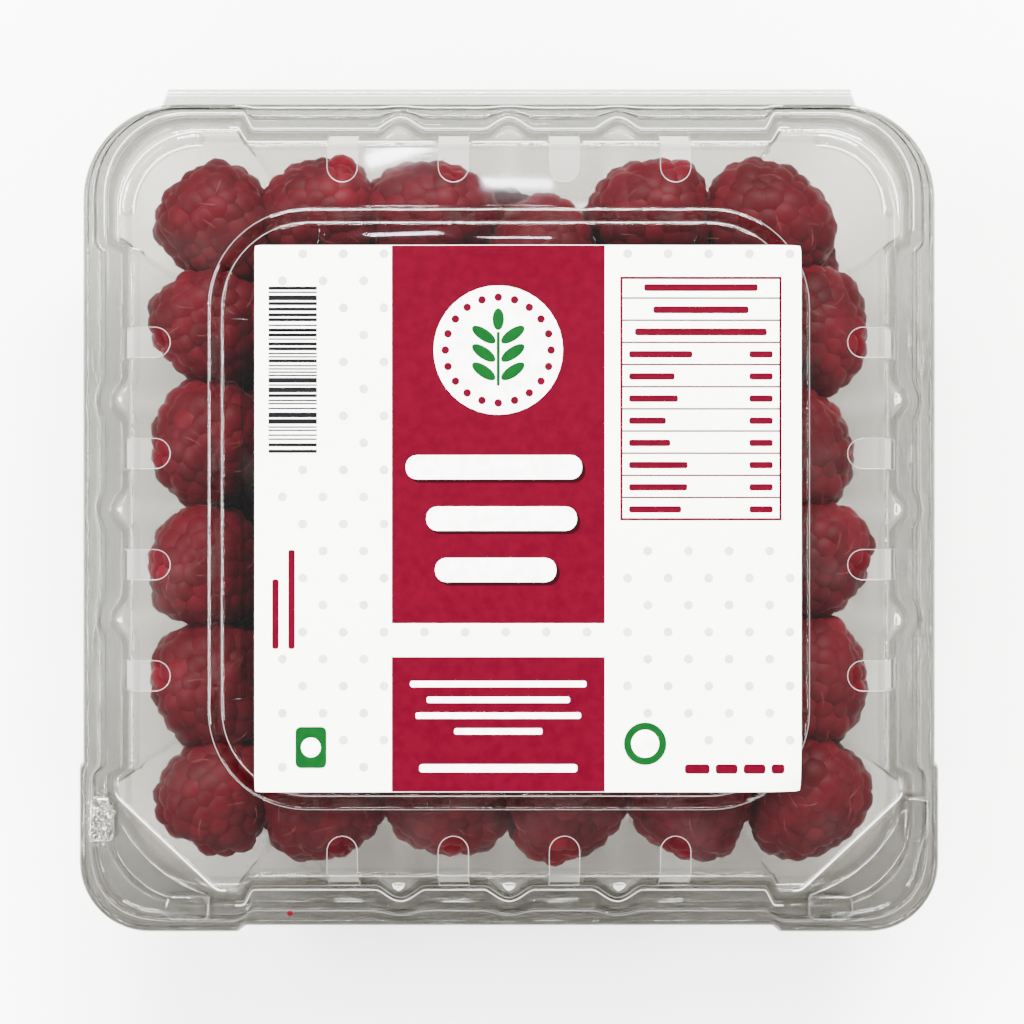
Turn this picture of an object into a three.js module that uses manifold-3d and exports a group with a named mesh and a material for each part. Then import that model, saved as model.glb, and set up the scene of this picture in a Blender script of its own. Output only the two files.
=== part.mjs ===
// A shut punnet of raspberries: a thin clear formed tub, its lid on a fold at the back, a paper label on
// the lid's raised panel, and the heap of berries inside.
// Millimetres. +X right, +Y towards the fold, +Z up. The origin is below the middle, on the resting face.
import * as THREE from "three";
import { mergeVertices } from "three/addons/utils/BufferGeometryUtils.js";
import Module from "manifold-3d";

const wasm = await Module();
wasm.setup();

// Driving dimensions
const sheet = 0.6; // thickness of the clear plastic
const gap = 0.3; // left between neighbours that touch
const rimHeight = 28; // top face of the tub's flange
const lidTop = 37.5; // flat border of the lid
const panelTop = 40.5; // raised panel that carries the label
const blockY = 0.4; // middle of the walls, a little behind the middle of the flanges
const flange = {
  halfX: 60, front: -58.2, back: 57.4, backRadius: 13, frontRadius: 9.5,
  tabX: 0.5, tabY: 0.9, tabFromX: 38.3, tabFromY: -35.5, foldY: 59.1, foldHalf: 48.3, foldSlant: 0.8,
};
// The walls at four levels. Corner posts step out by post, at postFrom from the middle of each side.
const lidFoot = {
  halfX: 54.6, halfY: 53.4, post: 2.2, postFrom: 36.3, ribOut: 1.65, ribHalf: 2.7, radius: 11.5,
};
const lidEdge = {
  halfX: 52.2, halfY: 50.6, post: 2.0, postFrom: 36.3, ribOut: 2.0, ribHalf: 2.1, radius: 11,
};
const tubRim = {
  halfX: 53.3, halfY: 51.8, post: 1.2, postFrom: 36.3, ribOut: 1.5, ribHalf: 2.6, radius: 11.5,
};
const tubBase = {
  halfX: 48.2, halfY: 46.8, post: 0.5, postFrom: 32.5, ribOut: 0.6, ribHalf: 2.0, radius: 11,
};
const postRun = 0.8; // length of the step out to a corner post
const baseBevel = 1.5; // rounding between the tub's wall and its base
const pitch = 15.3; // spacing of the ribs and of the vents between them
const ribDrop = 0.8; // rib tops stop this far under the lid's border
const shelfHeight = 31; // low shelf left in the lid's front corners
const cornerCut = { x: 11.4, y: 12.8 }; // cut across the lid's front corners
const vent = { width: 4.2, reach: 5.6, sill: 30.8, outward: 5 };
const panel = { footHalf: 41.25, footRadius: 13.5, topHalf: 39.3, topRadius: 12 };
const nest = { height: 2.5, footHalf: 42.2, topHalf: 41.4, radius: 13.5 }; // hollow under the tub, fits a panel
const bead = { inset: 2.1, width: 1.4, height: 0.6 };
const ridge = { centreIn: 10.5, radius: 10, width: 2.4, height: 0.9, overrun: 0.35 };
const lug = {
  length: 6.8, width: 4, height: 2.7, radius: 1.5, sideX: 57.1, sideY: -43.1, frontX: 45.1, frontY: -55.5,
};
const snap = { chord: 7.5, rise: 0.9, height: 0.5, fromBead: 0.2, y: [21.8, -18.6] };
const label = { size: 74.5, thickness: 0.3, corner: 0.4, x: 2.6, y: -1.3 };
const overshoot = 1; // how far a cutting solid runs past what it cuts
const ribShares = [-1, -0.87, -0.5, 0, 0.5, 0.87, 1]; // points across a rib, as shares of its half width
const cutInset = 0.6; // share of the sheet by which the cut across a corner moves on the inside

// The heap. Berries that lie round the border: x, y, direction of the tip in degrees, share of full size.
const borderBerries = [
  [-38.6, 42, -50, 1.04], [-26.5, 38, 190, 0.98], [-11.5, 43, 10, 1.05], [2, 40, 80, 0.95], [14.5, 43, 180, 1.0],
  [31.5, 42.5, -20, 1.08], [45, 36, -75, 1.02], [44.5, 17.5, 95, 1.04], [43.5, -1, 250, 1.0], [44.5, -18, 80, 1.04],
  [43, -38.5, 235, 1.02], [31, -43, 160, 1.0], [14.5, -43, 20, 0.98], [-1.5, -43, 185, 1.05], [-20, -43, 5, 1.0],
  [-34.5, -42.5, 60, 0.98], [-44.5, 32.5, -60, 1.04], [-44.5, 13, 250, 1.04], [-44.5, -6.5, 95, 1.02],
  [-44.5, -26.5, -80, 1.08],
];
const berry = { radius: 8.5, halfLength: 9.7, sides: 8 };
// From the stalk's end to the tip, as shares of the radius and of half the length
const berryProfile = [[0, -0.9], [0.72, -0.86], [0.98, -0.42], [0.96, 0.1], [0.66, 0.7], [0, 1]];
const innerRows = { count: 4, pitch: 17.6, height: 26.2 }; // upper layer under the label
const lowerRows = { count: 5, pitch: 19.4, height: 10.5 }; // lower layer
const strayed = 2; // how far a berry in a row may lie off its place
const sizeSpread = 0.06;
const lengthSpread = 0.08;
const leanSpread = 30; // degrees
const borderHeight = 26;
const heapTop = 35.3;
const heapClear = 0.45; // from the heap to the pack
const settleRounds = 80;
const nudgeRounds = 8;
const touch = 0.95; // share of two radii at which two berries rest on each other
const core = { bottom: 7, top: 28.5, bottomHalf: 35, topHalf: 40, radius: 9 };
let seed = 4127;

function random() {
  seed = (seed * 16807) % 2147483647;
  return seed / 2147483647;
}

// Solids and geometries
function toSolid(geometry) {
  const bare = geometry.clone();
  bare.deleteAttribute("normal");
  bare.deleteAttribute("uv");
  const merged = mergeVertices(bare, 1e-4);
  return new wasm.Manifold(new wasm.Mesh({
    numProp: 3,
    vertProperties: new Float32Array(merged.attributes.position.array),
    triVerts: new Uint32Array(merged.index.array),
  }));
}

function toGeometry(solid) {
  const mesh = solid.getMesh();
  const geometry = new THREE.BufferGeometry();
  geometry.setAttribute("position", new THREE.BufferAttribute(mesh.vertProperties.slice(), 3));
  geometry.setIndex(new THREE.BufferAttribute(mesh.triVerts.slice(), 1));
  geometry.computeVertexNormals();
  return geometry;
}

function joined(solids) {
  return solids.reduce((all, next) => all.add(next));
}

// A closed solid between two outlines with the same number of points, both anticlockwise.
function loft(lower, upper, bottom, top) {
  const count = lower.length;
  const geometry = new THREE.BufferGeometry();
  const corners = [...lower.map(([x, y]) => [x, y, bottom]), ...upper.map(([x, y]) => [x, y, top])];
  const faces = [];
  for (let i = 0; i < count; i++) {
    const next = (i + 1) % count;
    faces.push(i, next, count + next, i, count + next, count + i);
  }
  const flat = (outline) => outline.map(([x, y]) => new THREE.Vector2(x, y));
  for (const [a, b, c] of THREE.ShapeUtils.triangulateShape(flat(lower), [])) faces.push(a, c, b);
  for (const [a, b, c] of THREE.ShapeUtils.triangulateShape(flat(upper), [])) {
    faces.push(count + a, count + b, count + c);
  }
  geometry.setAttribute("position", new THREE.Float32BufferAttribute(corners.flat(), 3));
  geometry.setIndex(faces);
  return toSolid(geometry);
}

function plate(outline, bottom, top) {
  return loft(outline, outline, bottom, top);
}

function arc(centreX, centreY, radius, from, to, steps) {
  return Array.from({ length: steps + 1 }, (_, i) => {
    const angle = THREE.MathUtils.degToRad(from + ((to - from) * i) / steps);
    return [centreX + radius * Math.cos(angle), centreY + radius * Math.sin(angle)];
  });
}

function roundedBox(centreX, centreY, halfX, halfY, radius, steps = 5) {
  const x = halfX - radius;
  const y = halfY - radius;
  return [
    ...arc(centreX + x, centreY - y, radius, -90, 0, steps),
    ...arc(centreX + x, centreY + y, radius, 0, 90, steps),
    ...arc(centreX - x, centreY + y, radius, 90, 180, steps),
    ...arc(centreX - x, centreY - y, radius, 180, 270, steps),
  ];
}

// The walls: each side has three half-round ribs, and posts stand out at its ends
function sidePoints(wall, ribOut) {
  const points = [[-wall.postFrom - postRun, wall.post], [-wall.postFrom, 0]];
  for (const centre of [-pitch, 0, pitch]) {
    for (const share of ribShares) {
      points.push([centre + share * wall.ribHalf, ribOut * Math.sqrt(1 - share * share)]);
    }
  }
  points.push([wall.postFrom, 0], [wall.postFrom + postRun, wall.post]);
  return points;
}

// The outline of a wall at one level. inset gives the inside of the sheet, cut takes the front corners off.
function wallOutline(wall, { inset = 0, ribs = true, cut = null, steps = 5 } = {}) {
  const halfX = wall.halfX - inset;
  const halfY = wall.halfY - inset;
  const narrower = { ...wall, ribHalf: wall.ribHalf - inset };
  const side = sidePoints(narrower, ribs ? wall.ribOut : 0);
  const cornerX = halfX + wall.post;
  const cornerY = halfY + wall.post;
  const radius = wall.radius - inset;
  const inX = cornerX - radius;
  const inY = cornerY - radius;
  const cutX = cut && cut.x - inset * cutInset;
  const cutY = cut && cut.y - inset * cutInset;
  const frontRight = cut
    ? [[cornerX - cutX, blockY - cornerY], [cornerX, blockY - cornerY + cutY]]
    : arc(inX, blockY - inY, radius, -90, 0, steps);
  const frontLeft = frontRight.map(([x, y]) => [-x, y]).reverse();
  return [
    ...frontRight,
    ...side.map(([along, out]) => [halfX + out, blockY + along]),
    ...arc(inX, blockY + inY, radius, 0, 90, steps),
    ...side.map(([along, out]) => [-along, blockY + halfY + out]),
    ...arc(-inX, blockY + inY, radius, 90, 180, steps),
    ...side.map(([along, out]) => [-halfX - out, blockY - along]),
    ...frontLeft,
    ...side.map(([along, out]) => [along, blockY - halfY - out]),
  ];
}

// A flange with wider finger tabs at its front corners and a tongue at the back that meets the fold
function flangeOutline(inset = 0, withTabs = true) {
  const tabX = withTabs ? flange.tabX : 0;
  const tabY = withTabs ? flange.tabY : 0;
  const halfX = flange.halfX - inset;
  const back = flange.back - inset;
  const front = flange.front + inset - tabY;
  const right = halfX + tabX;
  const backRadius = flange.backRadius - inset;
  const frontRadius = flange.frontRadius - inset;
  const half = [
    ...(withTabs ? [[flange.tabFromX - tabY, front + tabY], [flange.tabFromX, front]] : []),
    ...arc(right - frontRadius, front + frontRadius, frontRadius, -90, 0, 5),
    ...(withTabs ? [[right, flange.tabFromY], [halfX, flange.tabFromY + tabX]] : []),
    ...arc(halfX - backRadius, back - backRadius, backRadius, 0, 90, 6),
    ...(withTabs ? [[flange.foldHalf + flange.foldSlant, back], [flange.foldHalf, flange.foldY]] : []),
  ];
  return [...half, ...half.map(([x, y]) => [-x, y]).reverse()];
}

function lidBeadRing(bottom, top) {
  const outer = plate(flangeOutline(bead.inset, false), bottom, top);
  const inside = flangeOutline(bead.inset + bead.width, false);
  const inner = plate(inside, bottom - overshoot, top + overshoot);
  return outer.subtract(inner);
}

// A band along an arc, with round ends, such as the ridges on the lid's back corners
function curvedRidge(side) {
  const centreX = lidEdge.halfX + lidEdge.post - ridge.centreIn - ridge.width / 2;
  const centreY = blockY + lidEdge.halfY + lidEdge.post - ridge.centreIn - ridge.width / 2;
  const half = ridge.width / 2;
  const outline = [
    ...arc(centreX, centreY, ridge.radius + half, 0, 90, 7),
    ...arc(centreX, centreY + ridge.radius, half, 90, 270, 4).slice(1, -1),
    ...arc(centreX, centreY, ridge.radius - half, 90, 0, 7),
    ...arc(centreX + ridge.radius, centreY, half, 180, 360, 4).slice(1, -1),
  ];
  const placed = side > 0 ? outline : outline.map(([x, y]) => [-x, y]).reverse();
  return plate(placed, lidTop - ridge.overrun, lidTop + ridge.height);
}

function lugSolids() {
  const bottom = rimHeight + gap + sheet / 2;
  const top = rimHeight + gap + sheet + lug.height;
  const long = lug.length / 2;
  const wide = lug.width / 2;
  return [-1, 1].flatMap((side) => [
    plate(roundedBox(side * lug.frontX, lug.frontY, long, wide, lug.radius, 2), bottom, top),
    plate(roundedBox(side * lug.sideX, lug.sideY, wide, long, lug.radius, 2), bottom, top),
  ]);
}

function snapSolids() {
  const bottom = rimHeight + gap + sheet / 2;
  const top = rimHeight + gap + sheet + snap.height;
  const radius = (snap.chord * snap.chord) / 8 / snap.rise + snap.rise / 2;
  const spread = THREE.MathUtils.radToDeg(Math.asin(snap.chord / 2 / radius));
  const chordX = flange.halfX - bead.inset - snap.fromBead;
  return [-1, 1].flatMap((side) => snap.y.map((y) => {
    const outline = arc(chordX - radius + snap.rise, y, radius, -spread, spread, 6);
    const placed = side > 0 ? outline : outline.map(([x, yy]) => [-x, yy]).reverse();
    return plate(placed, bottom, top);
  }));
}

// The lid's form, or the hollow inside it when inset is the sheet's thickness
function lidForm(inset, bottom) {
  const floor = rimHeight + gap;
  const rise = (height) => (height - floor) / (lidTop - floor);
  const between = (share) => Object.fromEntries(
    Object.keys(lidFoot).map((key) => [key, lidFoot[key] + (lidEdge[key] - lidFoot[key]) * share]),
  );
  const ribTop = lidTop - ribDrop - inset;
  const shelf = shelfHeight - inset;
  const top = lidTop - inset;
  const foot = (options) => wallOutline(lidFoot, { inset, ...options });
  const edge = (height, options) => wallOutline(between(rise(height)), { inset, ...options });
  return joined([
    loft(foot(), foot(), bottom, floor),
    loft(foot({ ribs: false }), edge(shelf, { ribs: false }), floor, shelf),
    loft(foot({ cut: cornerCut }), edge(ribTop, { cut: cornerCut }), floor, ribTop),
    loft(foot({ ribs: false, cut: cornerCut }), edge(top, { ribs: false, cut: cornerCut }), floor, top),
    loft(
      roundedBox(0, blockY, panel.footHalf - inset, panel.footHalf - inset, panel.footRadius),
      roundedBox(0, blockY, panel.topHalf - inset, panel.topHalf - inset, panel.topRadius),
      lidTop - inset - sheet / 2,
      panelTop - inset,
    ),
  ]);
}

// Holes with a round inner end that run from the lid's border over its edge and down the wall
function ventCutters() {
  const half = vent.width / 2;
  const sides = [
    { turn: 0, edge: lidEdge.halfX },
    { turn: 90, edge: lidEdge.halfY },
    { turn: 180, edge: lidEdge.halfX },
    { turn: 270, edge: lidEdge.halfY },
  ];
  return sides.flatMap(({ turn, edge }) => [-1.5, -0.5, 0.5, 1.5].map((station) => {
    const along = station * pitch;
    const angle = THREE.MathUtils.degToRad(turn);
    const outline = [
      [edge + vent.outward, along - half],
      [edge + vent.outward, along + half],
      ...arc(edge - vent.reach + half, along, half, 90, 270, 6),
    ];
    const placed = outline.map(([out, side]) => [
      out * Math.cos(angle) - side * Math.sin(angle),
      blockY + out * Math.sin(angle) + side * Math.cos(angle),
    ]);
    return plate(placed, vent.sill, lidTop + overshoot);
  }));
}

function lidSolid() {
  const bottom = rimHeight + gap;
  const body = joined([
    lidForm(0, bottom),
    plate(flangeOutline(), bottom, bottom + sheet),
    lidBeadRing(bottom + sheet / 2, bottom + sheet + bead.height),
    curvedRidge(1),
    curvedRidge(-1),
    ...lugSolids(),
    ...snapSolids(),
  ]);
  return body.subtract(lidForm(sheet, bottom - overshoot)).subtract(joined(ventCutters()));
}

// The tub: walls that lean in to a ring it rests on, with the middle of the base pushed up
function tubForm(inset, top) {
  const bevelled = { ...tubBase, halfX: tubBase.halfX - baseBevel, halfY: tubBase.halfY - baseBevel };
  const options = { inset, steps: 4 };
  const base = inset;
  const lift = baseBevel + inset / 2;
  const hollow = loft(
    roundedBox(0, blockY, nest.footHalf + inset, nest.footHalf + inset, nest.radius),
    roundedBox(0, blockY, nest.topHalf + inset, nest.topHalf + inset, nest.radius),
    -overshoot,
    nest.height + inset,
  );
  const walls = [
    loft(wallOutline(bevelled, options), wallOutline(tubBase, options), base, lift),
    loft(wallOutline(tubBase, options), wallOutline(tubRim, options), lift, rimHeight),
  ];
  if (top > rimHeight) walls.push(plate(wallOutline(tubRim, options), rimHeight, top));
  return joined(walls).subtract(hollow);
}

function tubSolid() {
  const body = tubForm(0, rimHeight).add(plate(flangeOutline(), rimHeight - sheet, rimHeight));
  return body.subtract(tubForm(sheet, rimHeight + overshoot));
}

// The heap: berries start in rows and round the border, and are pushed apart until they rest together
function innerHalf(height, rim, base) {
  return base + ((rim - base) * Math.min(height, rimHeight)) / rimHeight - sheet - heapClear;
}

function keepInside(one) {
  const reach = one.reach;
  const limitX = innerHalf(one.z, tubRim.halfX, tubBase.halfX) - reach;
  const limitY = innerHalf(one.z, tubRim.halfY, tubBase.halfY) - reach;
  one.x = Math.max(-limitX, Math.min(limitX, one.x));
  one.y = Math.max(blockY - limitY, Math.min(blockY + limitY, one.y));
  const middle = Math.abs(one.x) < nest.footHalf && Math.abs(one.y) < nest.footHalf;
  const floor = (middle ? nest.height : 0) + sheet + heapClear + reach;
  one.z = Math.max(floor, Math.min(heapTop - reach, one.z));
}

function startBerry(x, y, z, turn, share) {
  const size = share * (1 + sizeSpread * (random() - 0.5));
  const radius = berry.radius * size;
  const halfLength = berry.halfLength * size * (1 + lengthSpread * (random() - 0.5));
  const lean = leanSpread * (random() - 0.5);
  return { x, y, z, turn, lean, radius, halfLength, reach: (radius * 2 + halfLength) / 3 };
}

function pile() {
  const berries = borderBerries.map(([x, y, turn, share]) => startBerry(x, y, borderHeight, turn, share));
  for (const rows of [innerRows, lowerRows]) {
    for (let i = 0; i < rows.count * rows.count; i++) {
      const column = (i % rows.count) - (rows.count - 1) / 2;
      const row = Math.floor(i / rows.count) - (rows.count - 1) / 2;
      const x = column * rows.pitch + strayed * (random() - 0.5);
      const y = blockY + row * rows.pitch + strayed * (random() - 0.5);
      berries.push(startBerry(x, y, rows.height, 360 * random(), 1));
    }
  }
  for (let round = 0; round < settleRounds; round++) {
    berries.forEach((a, i) => berries.slice(i + 1).forEach((b) => {
      const apart = [b.x - a.x, b.y - a.y, b.z - a.z];
      const distance = Math.hypot(...apart) + 1e-9;
      const push = (a.reach + b.reach) * touch - distance;
      if (push <= 0) return;
      ["x", "y", "z"].forEach((axis, k) => {
        a[axis] -= ((apart[k] / distance) * push) / 2;
        b[axis] += ((apart[k] / distance) * push) / 2;
      });
    }));
    berries.forEach(keepInside);
  }
  return berries;
}

// How far a point stands past the space inside the tub's walls, and the way back in
function pastWalls(x, y, z) {
  const radius = tubBase.radius - sheet;
  const outX = Math.abs(x) - innerHalf(z, tubRim.halfX, tubBase.halfX) + radius;
  const outY = Math.abs(y - blockY) - innerHalf(z, tubRim.halfY, tubBase.halfY) + radius;
  const inCorner = outX > 0 && outY > 0;
  const distance = inCorner ? Math.hypot(outX, outY) : Math.max(outX, outY);
  const wayX = inCorner ? outX / distance : Number(outX > outY);
  const wayY = inCorner ? outY / distance : Number(outX <= outY);
  return { past: distance - radius, wayX: -Math.sign(x) * wayX, wayY: -Math.sign(y - blockY) * wayY };
}

function nudgeInside(geometry) {
  const points = geometry.attributes.position;
  for (let round = 0; round < nudgeRounds; round++) {
    let worst = { past: 0, wayX: 0, wayY: 0 };
    let lift = 0;
    for (let i = 0; i < points.count; i++) {
      const [x, y, z] = [points.getX(i), points.getY(i), points.getZ(i)];
      const here = pastWalls(x, y, z);
      if (here.past > worst.past) worst = here;
      const nested = Math.max(Math.abs(x), Math.abs(y - blockY)) < nest.footHalf + sheet + heapClear;
      lift = Math.max(lift, sheet + heapClear + (nested ? nest.height : baseBevel / 2) - z);
    }
    geometry.translate(worst.wayX * worst.past, worst.wayY * worst.past, lift);
  }
}

// One berry: blunt where it left its stalk, narrowing to a round tip along +Y before it is turned
function berrySolid({ x, y, z, turn, lean, radius, halfLength }) {
  const profile = berryProfile.map(
    ([out, along]) => new THREE.Vector2(out * radius, along * halfLength),
  );
  const geometry = new THREE.LatheGeometry(profile, berry.sides);
  geometry.rotateX(THREE.MathUtils.degToRad(lean));
  geometry.rotateZ(THREE.MathUtils.degToRad(turn - 90));
  geometry.translate(x, y, z);
  nudgeInside(geometry);
  return toSolid(geometry);
}

function heapSolid() {
  const middle = loft(
    roundedBox(0, blockY, core.bottomHalf, core.bottomHalf, core.radius, 2),
    roundedBox(0, blockY, core.topHalf, core.topHalf, core.radius, 2),
    core.bottom,
    core.top,
  );
  return joined([middle, ...pile().map(berrySolid)]);
}

function labelSolid() {
  const half = label.size / 2;
  const bottom = panelTop + gap;
  return plate(
    roundedBox(label.x, blockY + label.y, half, half, label.corner, 1),
    bottom,
    bottom + label.thickness,
  );
}

function named(name, solid, material) {
  const mesh = new THREE.Mesh(toGeometry(solid), material);
  mesh.name = name;
  return mesh;
}

const clearPlastic = new THREE.MeshStandardMaterial({
  color: 0xdfe3e0, roughness: 0.08, metalness: 0, transparent: true, opacity: 0.3,
});
const lidPlastic = clearPlastic.clone();
const redBerry = new THREE.MeshStandardMaterial({ color: 0x9a1426, roughness: 0.55, metalness: 0 });
const paper = new THREE.MeshStandardMaterial({ color: 0xf1f2ec, roughness: 0.6, metalness: 0 });

const punnet = new THREE.Group();
punnet.add(named("tub", tubSolid(), clearPlastic));
punnet.add(named("lid", lidSolid(), lidPlastic));
punnet.add(named("label", labelSolid(), paper));
punnet.add(named("raspberries", heapSolid(), redBerry));

export default punnet;
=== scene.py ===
# Punnet of raspberries, seen from straight above. Metres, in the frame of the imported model:
# +X right, +Y towards the fold, +Z up.
import math
import random

import bpy
import numpy as np
from mathutils import Matrix, Vector


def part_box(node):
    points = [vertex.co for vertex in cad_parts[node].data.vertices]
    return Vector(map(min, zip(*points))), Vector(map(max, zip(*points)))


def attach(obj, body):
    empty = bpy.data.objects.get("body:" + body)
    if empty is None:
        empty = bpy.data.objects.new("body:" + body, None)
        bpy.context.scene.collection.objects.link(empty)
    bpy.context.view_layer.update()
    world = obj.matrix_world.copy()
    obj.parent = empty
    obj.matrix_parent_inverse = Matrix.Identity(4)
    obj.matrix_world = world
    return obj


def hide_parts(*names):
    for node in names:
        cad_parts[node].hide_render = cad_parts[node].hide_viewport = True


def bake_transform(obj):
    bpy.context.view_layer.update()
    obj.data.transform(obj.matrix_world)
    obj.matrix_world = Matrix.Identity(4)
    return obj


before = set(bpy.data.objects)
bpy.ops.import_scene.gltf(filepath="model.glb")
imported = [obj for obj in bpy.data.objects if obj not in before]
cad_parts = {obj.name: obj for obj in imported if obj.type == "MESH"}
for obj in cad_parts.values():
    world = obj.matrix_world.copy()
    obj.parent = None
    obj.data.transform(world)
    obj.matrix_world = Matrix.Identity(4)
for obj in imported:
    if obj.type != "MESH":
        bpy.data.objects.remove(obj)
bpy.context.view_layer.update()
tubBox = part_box("tub")
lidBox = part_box("lid")
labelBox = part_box("label")
mm = 0.001
print("frame loaded")


# Working habits: what is picked, edited and finished
def pick(*pieces):
    if bpy.context.object and bpy.context.object.mode != "OBJECT":
        bpy.ops.object.mode_set(mode="OBJECT")
    bpy.ops.object.select_all(action="DESELECT")
    for piece in pieces:
        piece.select_set(True)
    bpy.context.view_layer.objects.active = pieces[0] if pieces else None


def newPiece(name, adder, **settings):
    pick()
    adder(**settings)
    piece = bpy.context.object
    piece.name = name
    piece.data.name = name
    return piece


def edit(piece, mode="VERT"):
    pick(piece)
    bpy.ops.object.mode_set(mode="EDIT")
    bpy.ops.mesh.select_mode(type=mode)
    bpy.ops.mesh.select_all(action="DESELECT")


def pickVerts(piece, test):
    bpy.ops.object.mode_set(mode="OBJECT")
    for vert in piece.data.vertices:
        vert.select = bool(test(vert.co))
    bpy.ops.object.mode_set(mode="EDIT")


def done():
    bpy.ops.object.mode_set(mode="OBJECT")


def applyModifier(piece, kind, **settings):
    pick(piece)
    modifier = piece.modifiers.new(kind.title(), kind)
    for key, value in settings.items():
        setattr(modifier, key, value)
    bpy.ops.object.modifier_apply(modifier=modifier.name)


def settle(piece):
    pick(piece)
    bpy.ops.object.transform_apply(location=True, rotation=True, scale=True)


def joinInto(piece, others):
    pick(piece, *others)
    bpy.ops.object.join()


def copyOf(piece, name):
    twin = piece.copy()
    twin.data = piece.data.copy()
    twin.name = name
    bpy.context.scene.collection.objects.link(twin)
    return twin


def meshPiece(name, points, faces):
    mesh = bpy.data.meshes.new(name)
    mesh.from_pydata(points, [], faces)
    piece = bpy.data.objects.new(name, mesh)
    bpy.context.scene.collection.objects.link(piece)
    return piece


def flipFaces(piece):
    edit(piece)
    bpy.ops.mesh.select_all(action="SELECT")
    bpy.ops.mesh.flip_normals()
    done()


def smooth(piece, degrees=35):
    pick(piece)
    bpy.ops.object.shade_smooth_by_angle(angle=math.radians(degrees))


# A grid whose points are then put in place: rows of points, all rows alike in number
def placedGrid(name, rows, closed):
    across = len(rows[0])
    piece = newPiece(
        name, bpy.ops.mesh.primitive_grid_add,
        x_subdivisions=across - 1, y_subdivisions=len(rows) - 1, size=1,
    )
    flat = np.array(rows, float).reshape(-1)
    piece.data.vertices.foreach_set("co", flat)
    piece.data.update()
    if closed:
        edit(piece)
        bpy.ops.mesh.select_all(action="SELECT")
        bpy.ops.mesh.remove_doubles(threshold=1e-6)
        done()
    return piece


# Node helpers
def newMaterial(name):
    material = bpy.data.materials.new(name)
    material.use_nodes = True
    nodes = material.node_tree.nodes
    nodes.clear()
    output = nodes.new("ShaderNodeOutputMaterial")
    return material, nodes, material.node_tree.links, output


def addNode(nodes, kind, **values):
    node = nodes.new(kind)
    for key, value in values.items():
        if key in node.bl_rna.properties:
            setattr(node, key, value)
        else:
            node.inputs[key.replace("_", " ")].default_value = value
    return node


# A value goes into a socket as it is, a colour with full alpha, and another node's output as a link
def feed(links, value, socket):
    if isinstance(value, bpy.types.NodeSocket):
        links.new(value, socket)
    else:
        socket.default_value = (*value, 1) if isinstance(value, tuple) else value


def noiseAt(nodes, links, scale, detail=3.0):
    coordinates = nodes.new("ShaderNodeTexCoord")
    noise = addNode(nodes, "ShaderNodeTexNoise", Scale=scale, Detail=detail)
    links.new(coordinates.outputs["Object"], noise.inputs["Vector"])
    return noise.outputs["Fac"]


def ramped(nodes, links, source, lowAt, highAt, low, high):
    ramp = addNode(nodes, "ShaderNodeMapRange", From_Min=lowAt, From_Max=highAt, To_Min=low, To_Max=high)
    links.new(source, ramp.inputs["Value"])
    return ramp.outputs["Result"]


def mathNode(nodes, links, operation, first, second):
    node = addNode(nodes, "ShaderNodeMath", operation=operation)
    for value, socket in zip((first, second), node.inputs):
        feed(links, value, socket)
    return node.outputs[0]


def mixedColour(nodes, links, share, first, second, blend="MIX"):
    mix = addNode(nodes, "ShaderNodeMix", data_type="RGBA", blend_type=blend)
    links.new(share, mix.inputs["Factor"])
    feed(links, first, mix.inputs[6])
    feed(links, second, mix.inputs[7])
    return mix.outputs[2]


def mixedShader(nodes, links, share, first, second):
    mix = nodes.new("ShaderNodeMixShader")
    for value, socket in zip((share, first.outputs[0], second.outputs[0]), mix.inputs):
        feed(links, value, socket)
    return mix


# Colours along a ramp, each with its place from 0 to 1
def colourRamp(nodes, links, share, stops):
    ramp = nodes.new("ShaderNodeValToRGB")
    elements = ramp.color_ramp.elements
    for element, (place, colour) in zip(elements, (stops[0], stops[-1])):
        element.position = place
        element.color = (*colour, 1)
    for place, colour in stops[1:-1]:
        elements.new(place).color = (*colour, 1)
    links.new(share, ramp.inputs["Fac"])
    return ramp.outputs["Color"]


def inkMaterial(name, colour):
    material, nodes, links, output = newMaterial(name)
    shader = addNode(nodes, "ShaderNodeBsdfPrincipled", Roughness=0.55, Specular_IOR_Level=0.02)
    share = ramped(nodes, links, noiseAt(nodes, links, 700, 4.0), 0.35, 0.7, 0.0, 1.0)
    darker, lighter = tuple(c * 0.9 for c in colour), tuple(min(1, c * 1.12) for c in colour)
    shade = colourRamp(nodes, links, share, [(0, darker), (1, lighter)])
    links.new(shade, shader.inputs["Base Color"])
    links.new(shader.outputs[0], output.inputs["Surface"])
    return material


# Camera and studio
view = {"focal": 87, "height": 0.378, "x": 0.42 * mm, "y": 0.0}
studio = {
    "floor": (0.93, 0.93, 0.92), "sky": (0.95, 0.97, 1.0), "skyStrength": 0.32,
    "lamps": [
        # place, size, power, colour
        ((0.05, 0.7, 0.75), (0.8, 0.15), 88.0, (1.0, 0.99, 0.97)),
        ((-0.75, 0.1, 0.7), (0.6, 0.15), 42.0, (0.97, 0.98, 1.0)),
        ((0.5, -0.55, 0.8), (0.4, 0.12), 11.0, (1.0, 0.98, 0.96)),
        ((-0.5, -0.55, 0.8), (0.4, 0.12), 7.0, (1.0, 0.98, 0.96)),
        # narrow strips that draw thin bright lines along the folds of the plastic
        ((0.0, -0.62, 0.42), (0.9, 0.04), 10.0, (1.0, 0.99, 0.98)),
        ((0.62, 0.05, 0.42), (0.9, 0.04), 12.0, (1.0, 0.99, 0.98)),
        # two small lamps mirrored in the border at the back
        ((-0.05, 0.167, 0.84), (0.034, 0.006), 0.09, (0.9, 0.88, 1.0)),
        ((0.003, 0.152, 0.84), (0.032, 0.003), 0.035, (0.9, 0.88, 1.0)),
    ],
}


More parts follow.
